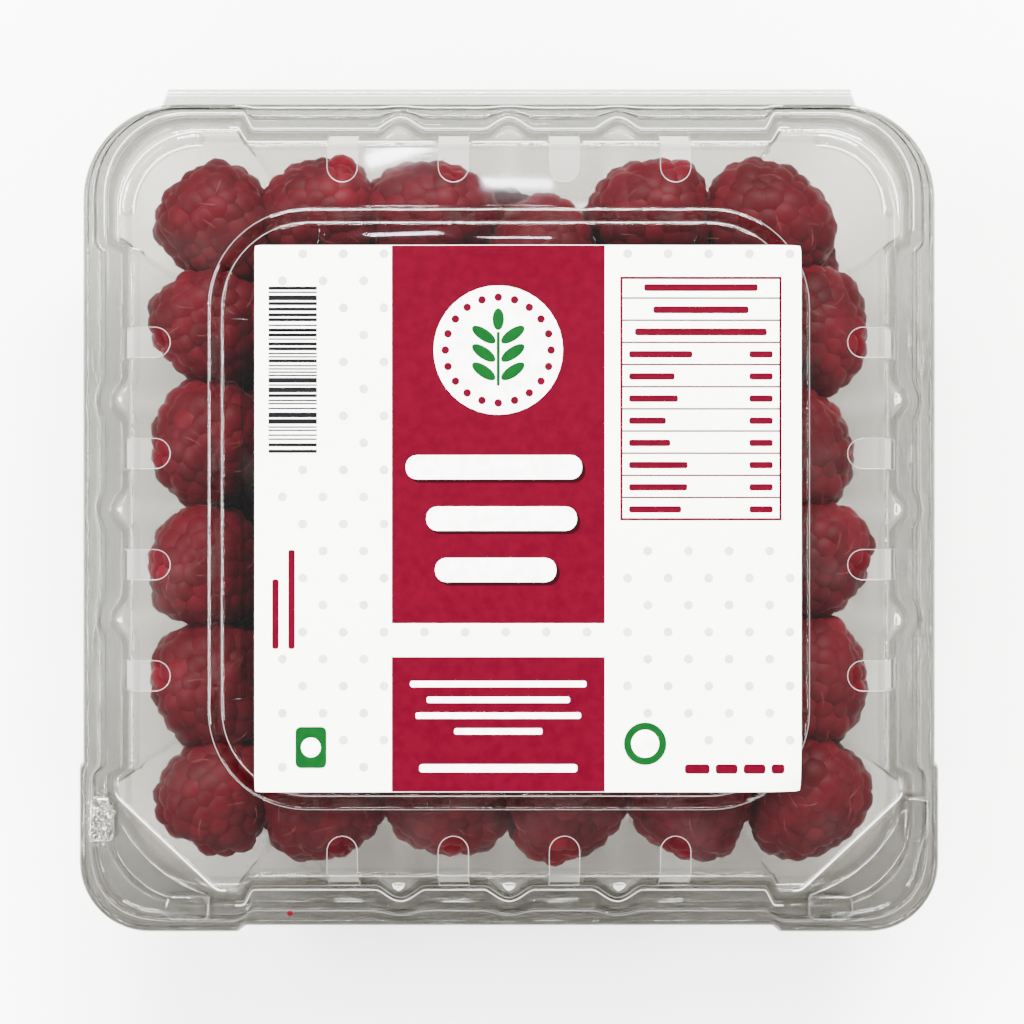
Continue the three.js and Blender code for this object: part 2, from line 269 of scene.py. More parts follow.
def makeStudio():
    bpy.ops.object.select_all(action="DESELECT")
    bpy.ops.object.camera_add(location=(view["x"], view["y"], view["height"]), rotation=(0, 0, 0))
    camera = bpy.context.object
    camera.data.lens = view["focal"]
    camera.data.sensor_width = 36
    camera.data.clip_start = 0.01
    bpy.context.scene.camera = camera
    for place, size, power, colour in studio["lamps"]:
        bpy.ops.object.light_add(type="AREA", location=place)
        lamp = bpy.context.object
        lamp.data.shape = "RECTANGLE"
        lamp.data.size, lamp.data.size_y = size
        lamp.data.energy = power
        lamp.data.color = colour
        aim = Vector((0, 0, 0.02)) - Vector(place)
        lamp.rotation_euler = aim.to_track_quat("-Z", "Y").to_euler()
    world = bpy.context.scene.world or bpy.data.worlds.new("world")
    bpy.context.scene.world = world
    world.use_nodes = True
    background = world.node_tree.nodes["Background"]
    background.inputs["Color"].default_value = (*studio["sky"], 1)
    background.inputs["Strength"].default_value = studio["skyStrength"]
    floor = newPiece("floor", bpy.ops.mesh.primitive_plane_add, size=4)
    material, nodes, links, output = newMaterial("paleFloor")
    shader = addNode(nodes, "ShaderNodeBsdfPrincipled", Roughness=0.8)
    shader.inputs["Base Color"].default_value = (*studio["floor"], 1)
    links.new(shader.outputs[0], output.inputs["Surface"])
    floor.data.materials.append(material)


makeStudio()
print("camera, floor and lamps made")

# Clear plastic
plasticLook = {
    "facing": 0.03, "slanted": 0.004, "rim": 0.6, "roughness": 0.03, "shine": (0.97, 0.98, 0.98),
    "haze": 0.0003, "hazeMost": 0.003, "scuffScale": 90, "scuff": (0.9, 0.9, 0.88), "rimPower": 8.0,
    # between these places along Y the painted shade turns from the front's to the back's
    "flangeShadeTurn": (-0.06, -0.02), "wallShadeTurn": (-0.054, -0.036),
    # seen edge on, the sheet is darker
    "obliqueFrom": 0.25, "obliqueTo": 0.75, "oblique": (0.68, 0.67, 0.655),
    # painted shade: the flange is greyer than the walls and darker towards the front, for the pack's shadow
    # on the floor; the tub's front wall is darker too
    "wall": (0.86, 0.857, 0.845), "tubWall": (0.72, 0.72, 0.705), "tubFrontShade": (0.6, 0.59, 0.58),
    "fold": (0.74, 0.745, 0.73), "relief": (0.95, 0.95, 0.94),
    "flangeShadeBack": (0.61, 0.61, 0.595), "flangeShadeFront": (0.49, 0.485, 0.468),
    # frosted specks at the left front tab
    "patch": (-0.0577, -0.0432), "patchSize": 0.0023, "patchLong": 2.0, "stippleScale": 2400,
}


# flangeAt says between which heights the piece's walls turn into its flange
def clearPlastic(name, flangeAt, wall, patch=False, wallFrontShade=None):
    look = plasticLook
    material, nodes, links, output = newMaterial(name)
    coordinates = nodes.new("ShaderNodeTexCoord")
    place = nodes.new("ShaderNodeSeparateXYZ")
    links.new(coordinates.outputs["Object"], place.inputs["Vector"])
    # painted shade: the tint darkens on the flange and towards the front, and on the tub's front wall
    front = ramped(nodes, links, place.outputs["Y"], *look["flangeShadeTurn"], 0.0, 1.0)
    onFlange = ramped(nodes, links, place.outputs["Z"], *flangeAt, 0.0, 1.0)
    paintedFlangeShade = mixedColour(nodes, links, front, look["flangeShadeFront"], look["flangeShadeBack"])
    pastFrontShade = ramped(nodes, links, place.outputs["Y"], *look["wallShadeTurn"], 0.0, 1.0)
    colour = mixedColour(nodes, links, pastFrontShade, wallFrontShade or wall, wall)
    colour = mixedColour(nodes, links, onFlange, colour, paintedFlangeShade)
    facing = addNode(nodes, "ShaderNodeLayerWeight", Blend=0.5).outputs["Facing"]
    oblique = ramped(nodes, links, facing, look["obliqueFrom"], look["obliqueTo"], 0.0, 1.0)
    colour = mixedColour(nodes, links, oblique, colour, look["oblique"], "MULTIPLY")
    clear = nodes.new("ShaderNodeBsdfTransparent")
    links.new(colour, clear.inputs["Color"])
    shine = addNode(nodes, "ShaderNodeBsdfPrincipled", Metallic=1.0, Roughness=look["roughness"])
    feed(links, look["shine"], shine.inputs["Base Color"])
    power = mathNode(nodes, links, "POWER", facing, look["rimPower"])
    share = mathNode(nodes, links, "MULTIPLY", power, look["rim"])
    flat = ramped(nodes, links, facing, 0.2, 0.42, look["facing"], look["slanted"])
    share = mathNode(nodes, links, "ADD", share, flat)
    gloss = mixedShader(nodes, links, share, clear, shine)
    scuff = addNode(nodes, "ShaderNodeBsdfPrincipled", Roughness=0.6)
    feed(links, look["scuff"], scuff.inputs["Base Color"])
    noise = noiseAt(nodes, links, look["scuffScale"], 6.0)
    haze = ramped(nodes, links, noise, 0.55, 0.8, look["haze"], look["hazeMost"])
    if patch:
        across, along = 1 / look["patchSize"], 1 / look["patchSize"] / look["patchLong"]
        mapping = addNode(nodes, "ShaderNodeMapping", Scale=(across, along, 0))
        mapping.inputs["Location"].default_value = (-look["patch"][0] * across, -look["patch"][1] * along, 0)
        links.new(coordinates.outputs["Object"], mapping.inputs["Vector"])
        near = addNode(nodes, "ShaderNodeVectorMath", operation="LENGTH")
        links.new(mapping.outputs["Vector"], near.inputs[0])
        inside = ramped(nodes, links, near.outputs["Value"], 0.75, 1.05, 1.0, 0.0)
        stipple = noiseAt(nodes, links, look["stippleScale"], 2.0)
        frost = ramped(nodes, links, stipple, 0.56, 0.68, 0.0, 0.3)
        frost = mathNode(nodes, links, "MULTIPLY", frost, inside)
        haze = mathNode(nodes, links, "ADD", haze, frost)
    mix = mixedShader(nodes, links, haze, gloss, scuff)
    links.new(mix.outputs[0], output.inputs["Surface"])
    return material


# The pack's form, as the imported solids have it
pack = {
    "sheet": 0.5 * mm, "blockY": 0.4 * mm, "detailEnd": 38.6 * mm, "pitch": 15.3 * mm,
    "rimTop": tubBox[1].z, "lidFloor": lidBox[0].z, "lidTop": 37.5 * mm, "panelTop": 40.5 * mm,
}
levels = {
    "lidFoot": {"x": 54.6, "y": 53.4, "post": 2.2, "rib": 1.65, "ribHalf": 3.3, "radius": 11.5},
    "lidEdge": {"x": 52.2, "y": 50.6, "post": 2.0, "rib": 2.0, "ribHalf": 2.9, "radius": 11},
    "panelFoot": {"x": 41.25, "y": 41.25, "post": 0, "rib": 0, "ribHalf": 2.5, "radius": 13.5},
    "panelTop": {"x": 39.3, "y": 39.3, "post": 0, "rib": 0, "ribHalf": 2.5, "radius": 12},
    "tubRim": {"x": 53.3, "y": 51.8, "post": 1.2, "rib": 1.5, "ribHalf": 3.2, "radius": 11.5},
    "tubBase": {"x": 48.2, "y": 46.8, "post": 0.5, "rib": 0.6, "ribHalf": 2.8, "radius": 11},
    "nestFoot": {"x": 42.2, "y": 42.2, "post": 0, "rib": 0, "ribHalf": 2.5, "radius": 13.5},
    "nestTop": {"x": 41.4, "y": 41.4, "post": 0, "rib": 0, "ribHalf": 2.5, "radius": 13.5},
}
flange = {
    "x": 60.0, "front": 58.2, "back": 57.4, "backRadius": 13.0, "frontRadius": 9.5,
    "tabX": 0.5, "tabY": 0.9, "tabFromX": 38.3, "tabFromY": 35.9, "room": 4.5,
}
cornerSpots = 34
steadyPart = 26  # this much of each half side keeps its places on every ring
cutShape = {"x": 14.0, "y": 13.1, "round": 2.2}
ventShape = {"width": 4.2, "reach": 5.6, "sill": 30.8, "rim": 0.06, "stations": (-1.5, -0.5, 0.5, 1.5)}
ribPlaces = (-15.3, 0, 15.3)
# Where the sides get closer points: across the ribs, at the steps of the posts and beside the vents
closer = {"rib": 3.3, "stepFrom": 35.9, "stepTo": 37.7, "plain": (31.0, 28.0), "vent": 2.6, "least": 0.1}
postStep = {"from": 36.0, "to": 37.6}
ribSharpness = 0.66
# The four sides, from the right one on: which way is out, and which way along
outward = [(1, 0), (0, 1), (-1, 0), (0, -1)]
onward = [(0, 1), (-1, 0), (0, -1), (1, 0)]


def sideStations():
    end = pack["detailEnd"] / mm
    places = {-end, end}
    for centre in ribPlaces:
        places.update(centre + np.linspace(-closer["rib"], closer["rib"], 13))
    for side in (-1, 1):
        places.update(side * np.linspace(closer["stepFrom"], closer["stepTo"], 7))
        places.update(side * place for place in closer["plain"])
    for station in ventShape["stations"]:
        centre = station * ribPlaces[-1]
        places.update(centre + ventShape["width"] / 2 * np.sin(np.linspace(-math.pi / 2, math.pi / 2, 11)))
        places.update((centre - closer["vent"], centre + closer["vent"]))
    kept = []
    for place in sorted(places):
        if not kept or place - kept[-1] > closer["least"]:
            kept.append(float(place))
    return kept


stations = sideStations()


def eased(value, low, high):
    share = min(1.0, max(0.0, (value - low) / (high - low)))
    return share * share * (3 - 2 * share)


def roundedPath(corners, radii, steps=14):
    points = [corners[0]]
    for before, corner, after, radius in zip(corners, corners[1:], corners[2:], radii):
        corner, before, after = Vector(corner), Vector(before), Vector(after)
        inward, away = (before - corner).normalized(), (after - corner).normalized()
        half = inward.angle(away) / 2
        reach = radius / math.tan(half)
        start, end = corner + inward * reach, corner + away * reach
        centre = corner + (inward + away).normalized() * (radius / math.sin(half))
        turn = (start - centre).angle_signed(end - centre)
        for step in range(steps + 1):
            spoke = start - centre
            spoke.rotate(Matrix.Rotation(-turn * step / steps, 2))
            points.append(tuple(centre + spoke))
    points.append(corners[-1])
    return np.array([tuple(point) for point in points])


def spread(path, count):
    lengths = np.concatenate([[0], np.cumsum(np.hypot(*np.diff(path, axis=0).T))])
    places = np.linspace(0, lengths[-1], count + 2)[1:-1]
    return np.column_stack([np.interp(places, lengths, path[:, axis]) for axis in (0, 1)])


def blended(first, second, share):
    return {key: first[key] + (second[key] - first[key]) * share for key in first}


# Rings of a wall or panel. cut takes the front corners off, and ribs is how much of the ribs is left
def wallRing(level, ribs=1.0, cut=0.0, cutLess=0.0):
    centre = np.array([0, pack["blockY"] / mm])
    end = pack["detailEnd"] / mm
    reach = min(end, 0.96 * (min(level["x"], level["y"]) + level["post"] - level["radius"]))
    if cut:
        reach = min(reach, level["x"] + level["post"] - cutShape["x"] + cutLess - 1,
                    level["y"] + level["post"] - cutShape["y"] + cutLess - 1)
    squeeze = (reach - steadyPart) / (end - steadyPart)
    points = []
    for side in range(4):
        out = level["x"] if side % 2 == 0 else level["y"]
        other = level["y"] if side % 2 == 0 else level["x"]
        normal, along = np.array(outward[side]), np.array(onward[side])
        for place in stations:
            bump = 0.0
            for rib in ribPlaces:
                away = abs(place - rib) / level["ribHalf"]
                if away < 1:
                    bump = (0.5 + 0.5 * math.cos(math.pi * away)) ** ribSharpness
            step = level["post"] * eased(abs(place), postStep["from"], postStep["to"])
            past = max(0.0, abs(place) - steadyPart)
            shift = -math.copysign(past * (1 - squeeze), place)
            rise = out + step + level["rib"] * ribs * bump
            points.append(centre + normal * rise + along * (place + shift))
        start = centre + normal * (out + level["post"]) + along * reach
        corner = centre + normal * (out + level["post"]) + along * (other + level["post"])
        end = centre + along * (other + level["post"]) + normal * reach
        rounded = spread(roundedPath([start, corner, end], [level["radius"]]), cornerSpots)
        if cut and side in (2, 3):
            longX, longY = cutShape["x"] - cutLess, cutShape["y"] - cutLess
            shorter, longer = (longY, longX) if side == 2 else (longX, longY)
            flatCut = [start, corner - along * shorter, corner - normal * longer, end]
            flatPath = spread(roundedPath(flatCut, [cutShape["round"]] * 2), cornerSpots)
            rounded = rounded + (flatPath - rounded) * cut
        points.extend(rounded)
    return np.array(points) * mm


def flangeEdge():
    points = []
    sizes = [flange["x"], flange["back"], flange["x"], flange["front"]]
    radii = [flange["backRadius"], flange["backRadius"], flange["frontRadius"], flange["frontRadius"]]
    for side in range(4):
        out = sizes[side]
        normal, along = np.array(outward[side]), np.array(onward[side])
        middle = np.array([0, pack["blockY"] / mm]) if side % 2 == 0 else np.zeros(2)
        tabAt = {0: -1, 2: 1, 3: 0}.get(side)
        for place in stations:
            step = 0.0
            if side == 3:
                step = flange["tabY"] * eased(abs(place), flange["tabFromX"] - 0.8, flange["tabFromX"])
            elif side != 1 and place * tabAt > 0:
                step = flange["tabX"] * eased(abs(place), flange["tabFromY"], flange["tabFromY"] + 0.8)
            points.append(middle + normal * (out + step) + along * place)
        nextOut = sizes[(side + 1) % 4]
        stepOut = {2: flange["tabX"], 3: flange["tabY"]}.get(side, 0)
        stepNext = {2: flange["tabY"], 3: flange["tabX"]}.get(side, 0)
        reach = pack["detailEnd"] / mm
        nextMiddle = np.array([0, pack["blockY"] / mm]) if side % 2 else np.zeros(2)
        start = middle + normal * (out + stepOut) + along * reach
        corner = normal * (out + stepOut) + along * (nextOut + stepNext)
        end = nextMiddle + along * (nextOut + stepNext) + normal * reach
        points.extend(spread(roundedPath([start, corner, end], [radii[side]]), cornerSpots))
    return np.array(points) * mm


# A ring of the flange that lies inset from its edge, or closer where the wall's foot leaves less room.
# Also says how much of the room there is
def flangeRing(inset, wallEnd):
    edge = flangeEdge()
    gap = np.linalg.norm(wallEnd - edge, axis=1) / mm
    fit = np.minimum(1.0, gap / flange["room"])
    share = inset * fit / gap
    return edge + (wallEnd - edge) * share[:, None], fit


# How much a spot belongs to a front corner, where the lid has its cut and its low shelf
def frontCornerShare():
    shares = []
    for side in range(4):
        shares.extend([0.0] * len(stations))
        for spot in range(cornerSpots):
            place = (spot + 1) / (cornerSpots + 1)
            inside = eased(place, 0.03, 0.14) * eased(1 - place, 0.03, 0.14)
            shares.append(inside if side in (2, 3) else 0.0)
    return np.array(shares)


lidProfile = {
    "capInset": 3.2, "panelRound": 0.9, "panelFootRound": 0.6, "edgeRound": 0.7, "footRound": 0.5,
    "wallRings": 22, "footReach": 0.6, "borderFrom": 6.2, "borderRings": 13, "ribTop": 36.6, "ribFade": 0.7,
    # down the front corners: share of the way down, share of the cut, height
    "corner": [(0, 1.0, 37.5), (0.1, 0.98, 37.0), (0.42, 0.66, 31.9), (0.47, 0.58, 31.35), (0.53, 0.48, 31.1),
               (0.85, 0.08, 30.9), (0.9, 0.03, 30.6), (0.95, 0.0, 29.6), (1.0, 0.0, 28.9)],
}


def lidRows():
    shape = lidProfile
    rimZ = pack["lidFloor"] / mm + 0.6
    edgeZ, topZ = pack["lidTop"] / mm, pack["panelTop"] / mm
    panelTop, panelFoot = levels["panelTop"], levels["panelFoot"]
    edge, foot = levels["lidEdge"], levels["lidFoot"]
    corners = frontCornerShare()
    rows = []
    marks = {}

    def addRow(outline, height):
        heights = np.full(len(outline), height * mm) if np.isscalar(height) else height * mm
        rows.append(np.column_stack([outline, heights]))

    cap = dict(panelTop, x=panelTop["x"] - shape["capInset"], y=panelTop["y"] - shape["capInset"],
               radius=panelTop["radius"] - shape["capInset"])
    panelLine = roundedPath(
        [(cap["x"], topZ), (panelTop["x"], topZ), (panelFoot["x"], edgeZ), (panelFoot["x"] + 0.6, edgeZ)],
        [shape["panelRound"], shape["panelFootRound"]], 5,
    )
    for half, height in panelLine:
        level = blended(panelTop, panelFoot, (half - panelTop["x"]) / (panelFoot["x"] - panelTop["x"]))
        addRow(wallRing(level), height)
    marks["panelEdge"], marks["panelFoot"] = 3, len(rows) - 4
    for inset in np.linspace(shape["borderFrom"], shape["edgeRound"] + 0.2, shape["borderRings"]):
        post = edge["post"] * (1 - eased(inset, 1.2, 4.0))
        inner = dict(edge, x=edge["x"] - inset, y=edge["y"] - inset, radius=edge["radius"] - inset, post=post)
        addRow(wallRing(inner, 0.0, 1.0, inset * 0.586), edgeZ)
    wallLine = roundedPath(
        [(edge["x"] - 1.2, edgeZ), (edge["x"], edgeZ), (foot["x"], rimZ),
         (foot["x"] + shape["footReach"], rimZ)],
        [shape["edgeRound"], shape["footRound"]], 5,
    )
    # more rings down the straight of the wall
    drop = wallLine[:, 1]
    jump = int(np.argmax(-np.diff(drop)))
    between = np.linspace(wallLine[jump], wallLine[jump + 1], shape["wallRings"])[1:-1]
    wallLine = np.vstack([wallLine[: jump + 1], between, wallLine[jump + 1:]])
    steps, cuts, heights = np.array(shape["corner"]).T
    for half, height in wallLine[1:]:
        share = (half - edge["x"]) / (foot["x"] - edge["x"])
        level = blended(edge, foot, share)
        way = min(1.0, max(0.0, (edgeZ - height) / (edgeZ - rimZ)))
        ribs = 1 - eased(height, shape["ribTop"] - shape["ribFade"], shape["ribTop"] + 0.2)
        outline = wallRing(level, ribs, float(np.interp(way, steps, cuts)))
        if "edge" not in marks and half > edge["x"] - 0.12:
            marks["edge"] = len(rows)
        low = float(np.interp(way, steps, heights))
        addRow(outline, height + (low - height) * corners)
    beadLine = roundedPath(
        [(4.3, rimZ), (3.65, rimZ), (3.25, rimZ + 0.3), (2.35, rimZ + 0.3), (1.95, rimZ), (0.55, rimZ),
         (0.0, rimZ - 0.55)],
        [0.25, 0.25, 0.25, 0.25, 0.4], 3,
    )
    wallEnd = rows[-1][:, :2]
    marks["foot"], marks["beadOut"] = len(rows) - 3, len(rows) + 14
    for inset, height in beadLine:
        outline, fit = flangeRing(inset, wallEnd)
        addRow(outline, rimZ + (height - rimZ) * (fit if height > rimZ else 1.0))
    marks["lip"] = len(rows) - 3
    return [np.vstack([row, row[:1]]) for row in rows], marks


def makeShell(name, rows, normalsUp):
    piece = placedGrid(name, rows, closed=True)
    capZ = rows[0][0][2]
    inner = max(abs(rows[0][:, 0])) + 1e-5

    def onCap(co):
        return abs(co.z - capZ) < 1e-6 and max(abs(co.x), abs(co.y - pack["blockY"])) < inner

    edit(piece)
    pickVerts(piece, onCap)
    bpy.ops.mesh.edge_face_add()
    bpy.ops.mesh.select_all(action="SELECT")
    bpy.ops.mesh.normals_make_consistent(inside=False)
    done()
    top = max(piece.data.polygons, key=lambda face: face.area)
    if (top.normal.z > 0) != normalsUp:
        flipFaces(piece)
    return piece


# A place beside one of the pack's sides, in millimetres: so far out, and so far along
def besideSide(side, out, along):
    x = outward[side][0] * out + onward[side][0] * along
    y = outward[side][1] * out + onward[side][1] * along
    return x, y


# Where a point lies against the vents: the nearest one's side, its place across and its place outwards
def ventPlace(co):
    side = max(range(4), key=lambda s: co[0] * outward[s][0] + (co[1] - pack["blockY"]) * outward[s][1])
    out = (co[0] * outward[side][0] + (co[1] - pack["blockY"]) * outward[side][1]) / mm
    along = (co[0] * onward[side][0] + (co[1] - pack["blockY"]) * onward[side][1]) / mm
    places = [station * pack["pitch"] / mm for station in ventShape["stations"]]
    station = min(places, key=lambda place: abs(along - place))
    edge = levels["lidEdge"]["x" if side % 2 == 0 else "y"]
    return side, along - station, out - (edge - ventShape["reach"] + ventShape["width"] / 2), station


def inVent(co):
    _, across, out, _ = ventPlace(co)
    half = ventShape["width"] / 2
    if co[2] / mm < ventShape["sill"] or abs(across) > half:
        return False
    return out > 0 or math.hypot(across, out) < half


def cutVents(shell):
    half = ventShape["width"] / 2
    edit(shell, "FACE")
    done()
    for face in shell.data.polygons:
        face.select = inVent(face.center)
    bpy.ops.object.mode_set(mode="EDIT")
    bpy.ops.mesh.delete(type="FACE")
    done()
    uses = {}
    for face in shell.data.polygons:
        for key in face.edge_keys:
            uses[key] = uses.get(key, 0) + 1
    rim = {index for key, count in uses.items() if count == 1 for index in key}
    # the stepped edge of each hole is drawn onto its outline
    for index in rim:
        vert = shell.data.vertices[index]
        side, across, out, station = ventPlace(vert.co)
        if abs(across) > half + 0.6 or vert.co.z < (ventShape["sill"] - 0.6) * mm:
            continue
        if vert.co.z < (ventShape["sill"] + 0.35) * mm and abs(across) < half - 0.05:
            vert.co.z = ventShape["sill"] * mm
        if vert.co.z < pack["lidTop"] - 0.01 * mm:
            continue
        if out < 0:
            stretch = half / max(math.hypot(across, out), 1e-6)
            across, out = across * stretch, out * stretch
        else:
            across = math.copysign(half, across)
        edge = levels["lidEdge"]["x" if side % 2 == 0 else "y"]
        x, y = besideSide(side, (out + edge - ventShape["reach"] + half) * mm, (across + station) * mm)
        vert.co.x = x
        vert.co.y = y + pack["blockY"]
    shell.data.update()


# The cut edge of the sheet round each vent, which catches the light: its light line is a strand of painted
# highlight
def makeVentGlints():
    half, sill = ventShape["width"] / 2, ventShape["sill"]
    top = pack["lidTop"] / mm - 0.05
    lines = []
    for side in range(4):
        key = "x" if side % 2 == 0 else "y"
        edge, foot = levels["lidEdge"][key], levels["lidFoot"][key]
        inner = edge - ventShape["reach"] + half
        low = edge + (foot - edge) * (top - sill) / (top - pack["lidFloor"] / mm - 0.6)
        slope = roundedPath([(low, sill), (edge, top), (inner, top)], [1.0], 5)
        line = [(-half, out, z) for out, z in slope]
        for angle in np.linspace(0, math.pi, 13)[1:-1]:
            line.append((-half * math.cos(angle), inner - half * math.sin(angle), top))
        line += [(half, out, z) for out, z in slope[::-1]]
        for station in ventShape["stations"]:
            points = []
            for across, out, z in line:
                x, y = besideSide(side, out, across + station * pack["pitch"] / mm)
                points.append((x * mm, (y + pack["blockY"] / mm) * mm, z * mm))
            lines.append((points, True))
    return asLidPiece(strandsOf("ventGlints", lines, ventShape["rim"]), paintedGlintMaterial("cutEdgeGlint", 0.4, 0.3))


# A formed rib or bead along a line, open below, with round ends
def ridgeAlong(name, path, width, height, base):
    path = np.array(path)
    lengths = np.concatenate([[0], np.cumsum(np.hypot(*np.diff(path, axis=0).T))])
    ways = np.gradient(path, axis=0)
    ways /= np.hypot(*ways.T)[:, None]
    rows = []
    for point, way, length in zip(path, ways, lengths):
        toEnd = min(length, lengths[-1] - length)
        share = math.sqrt(max(0.0, 1 - max(0.0, 1 - toEnd / (width / 2)) ** 2))
        share = max(share, 0.08)
        row = []
        for step in range(11):
            angle = math.pi * step / 10
            side = math.cos(angle) * width / 2 * share
            up = (math.sin(angle) ** 0.8) * height * share
            row.append((point[0] - way[1] * side, point[1] + way[0] * side, base + up))
        rows.append(row)
    piece = placedGrid(name, rows, closed=False)
    piece.data.update()
    if sum(face.normal.z for face in piece.data.polygons) < 0:
        flipFaces(piece)
    applyModifier(piece, "SOLIDIFY", thickness=0.35 * mm, offset=-1)
    return piece


ridge = {"centreIn": 10.5, "radius": 10.0, "width": 2.4, "height": 0.9}
lug = {
    "length": 6.8, "width": 4.0, "height": 2.7, "round": 1.3, "topRound": 0.8, "sunk": 0.3, "sheet": 0.4,
    "sideX": 57.1, "sideY": -43.1, "frontX": 45.1, "frontY": -55.5, "lineIn": 0.35, "lineUp": 0.12,
}
snap = {"chord": 7.5, "rise": 0.9, "width": 0.9, "height": 0.5, "x": 58.6, "y": (21.8, -18.6)}


def arcPath(centre, radius, start, end, steps=24):
    angles = np.radians(np.linspace(start, end, steps + 1))
    return [(centre[0] + radius * math.cos(a), centre[1] + radius * math.sin(a)) for a in angles]


# The middle of the round ridge in a back corner, on the right
def ridgeMiddle():
    edge = levels["lidEdge"]
    inset = ridge["centreIn"] + ridge["width"] / 2
    return (edge["x"] + edge["post"] - inset) * mm, pack["blockY"] + (edge["y"] + edge["post"] - inset) * mm


# Each lug's place, and whether it lies across
def lugSpots():
    for side in (-1, 1):
        yield side * lug["sideX"], lug["sideY"], False
        yield side * lug["frontX"], lug["frontY"], True


def lidRelief():
    parts = []
    inX, inY = ridgeMiddle()
    base = pack["lidTop"] - 0.1 * mm
    for side, start, end in ((1, -4, 94), (-1, 86, 184)):
        path = arcPath((side * inX, inY), ridge["radius"] * mm, start, end)
        parts.append(ridgeAlong("ridge", path, ridge["width"] * mm, ridge["height"] * mm, base))
    radius = (snap["chord"] ** 2 / 8 / snap["rise"] + snap["rise"] / 2) * mm
    spreadAngle = math.degrees(math.asin(snap["chord"] / 2 * mm / radius))
    for side in (-1, 1):
        for y in snap["y"]:
            centre = (side * (snap["x"] * mm - radius), y * mm)
            middle = 0 if side > 0 else 180
            path = arcPath(centre, radius, middle - spreadAngle, middle + spreadAngle, 16)
            base = pack["lidFloor"] + 0.55 * mm
            parts.append(ridgeAlong("snap", path, snap["width"] * mm, snap["height"] * mm, base))
    return parts


def makeLug():
    base = pack["lidFloor"] + lug["sunk"] * mm
    height = lug["height"] * mm + lug["sunk"] * mm
    piece = newPiece("lug", bpy.ops.mesh.primitive_cube_add, size=1, location=(0, 0, base + height / 2))
    piece.scale = (lug["width"] * mm, lug["length"] * mm, height)
    settle(piece)
    edit(piece, "EDGE")
    pickEdges(piece, lambda a, b: abs(a.z - b.z) > height / 2)
    bpy.ops.mesh.bevel(offset=lug["round"] * mm, segments=6, affect="EDGES")
    done()
    top = base + height
    edit(piece, "EDGE")
    pickEdges(piece, lambda a, b: a.z > top - 1e-6 and b.z > top - 1e-6)
    bpy.ops.mesh.bevel(offset=lug["topRound"] * mm, segments=5, affect="EDGES")
    done()
    edit(piece)
    pickVerts(piece, lambda co: co.z < base + 1e-6)
    bpy.ops.mesh.delete(type="ONLY_FACE")
    done()
    applyModifier(piece, "SOLIDIFY", thickness=lug["sheet"] * mm, offset=-1)
    return piece


def pickEdges(piece, test):
    bpy.ops.object.mode_set(mode="OBJECT")
    verts = piece.data.vertices
    for edgeItem in piece.data.edges:
        edgeItem.select = test(verts[edgeItem.vertices[0]].co, verts[edgeItem.vertices[1]].co)
    bpy.ops.object.mode_set(mode="EDIT")


def makeLugs():
    first = makeLug()
    copies = []
    for x, y, across in lugSpots():
        twin = copyOf(first, "lug")
        turned = Matrix.Rotation(math.radians(90 if across else 0), 4, "Z")
        twin.data.transform(Matrix.Translation((x * mm, y * mm, 0)) @ turned)
        copies.append(twin)
    bpy.data.objects.remove(first)
    return copies


def makeLid():
    rows, marks = lidRows()
    shell = makeShell("lidShell", rows, normalsUp=True)
    cutVents(shell)
    applyModifier(shell, "SOLIDIFY", thickness=pack["sheet"], offset=-1)
    shell.data.materials.append(clearPlastic("lidPlastic", (0.0325, 0.0313), plasticLook["wall"], patch=True))
    relief = lidRelief() + makeLugs()
    clearer = clearPlastic("reliefPlastic", (0.1, 0.11), plasticLook["relief"], patch=True)
    for part in relief:
        part.data.materials.append(clearer)
    joinInto(shell, relief)
    smooth(shell, 38)
    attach(shell, "lid_body")
    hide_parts("lid")
    makePaintedGlints(rows, marks)
    return shell


# Painted highlights: tight folds of the sheet catch the light as fine lines, laid on as thin whitish strands.
# Each is a ring
# of the lid, or a part of one: which sides and corners of the ring it covers, counted from the right side on
paintedGlints = {
    "bright": 0.075, "faint": 0.05, "lift": 0.03,
    "brightLines": [("foot", "sides", (1, 3)), ("foot", "corners", (0, 1)), ("edge", "sides", (1,)),
                    ("edge", "corners", (2, 3)), ("lip", "sides", (1,))],
    "faintLines": [("foot", "sides", (0, 2)), ("edge", "sides", (0, 2, 3)), ("edge", "corners", (0, 1)),
                   ("panelEdge", "both", (0, 1, 2, 3)), ("panelFoot", "both", (0, 1, 2, 3)),
                   ("beadOut", "both", (0, 1, 2, 3)), ("foot", "corners", (2, 3))],
}


def glintRuns(row, kind, which):
    per = len(stations) + cornerSpots
    runs, run = [], []
    for i, point in enumerate(row[:-1]):
        onCorner = i % per >= len(stations)
        fits = i // per in which and (kind == "both" or onCorner == (kind == "corners"))
        if fits and not inVent(point):
            run.append(point)
        elif run:
            runs.append(run)
            run = []
    if run:
        runs.append(run + ([row[0]] if kind == "both" else []))
    return [run for run in runs if len(run) > 1]


def strandsOf(name, lines, radius):
    curve = bpy.data.curves.new(name, "CURVE")
    curve.dimensions = "3D"
    curve.bevel_depth = radius * mm
    curve.bevel_resolution = 0
    for line, closed in lines:
        spline = curve.splines.new("POLY")
        spline.points.add(len(line) - 1)
        spline.use_cyclic_u = closed
        for point, place in zip(spline.points, line):
            point.co = (*place, 1)
    curve.use_fill_caps = True
    strands = bpy.data.objects.new(name, curve)
    bpy.context.scene.collection.objects.link(strands)
    pick(strands)
    bpy.ops.object.convert(target="MESH")
    strands = bpy.context.object
    smooth(strands, 60)
    return strands


def asLidPiece(piece, material):
    piece.data.materials.append(material)
    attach(piece, "lid_body")
    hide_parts("lid")
    return piece


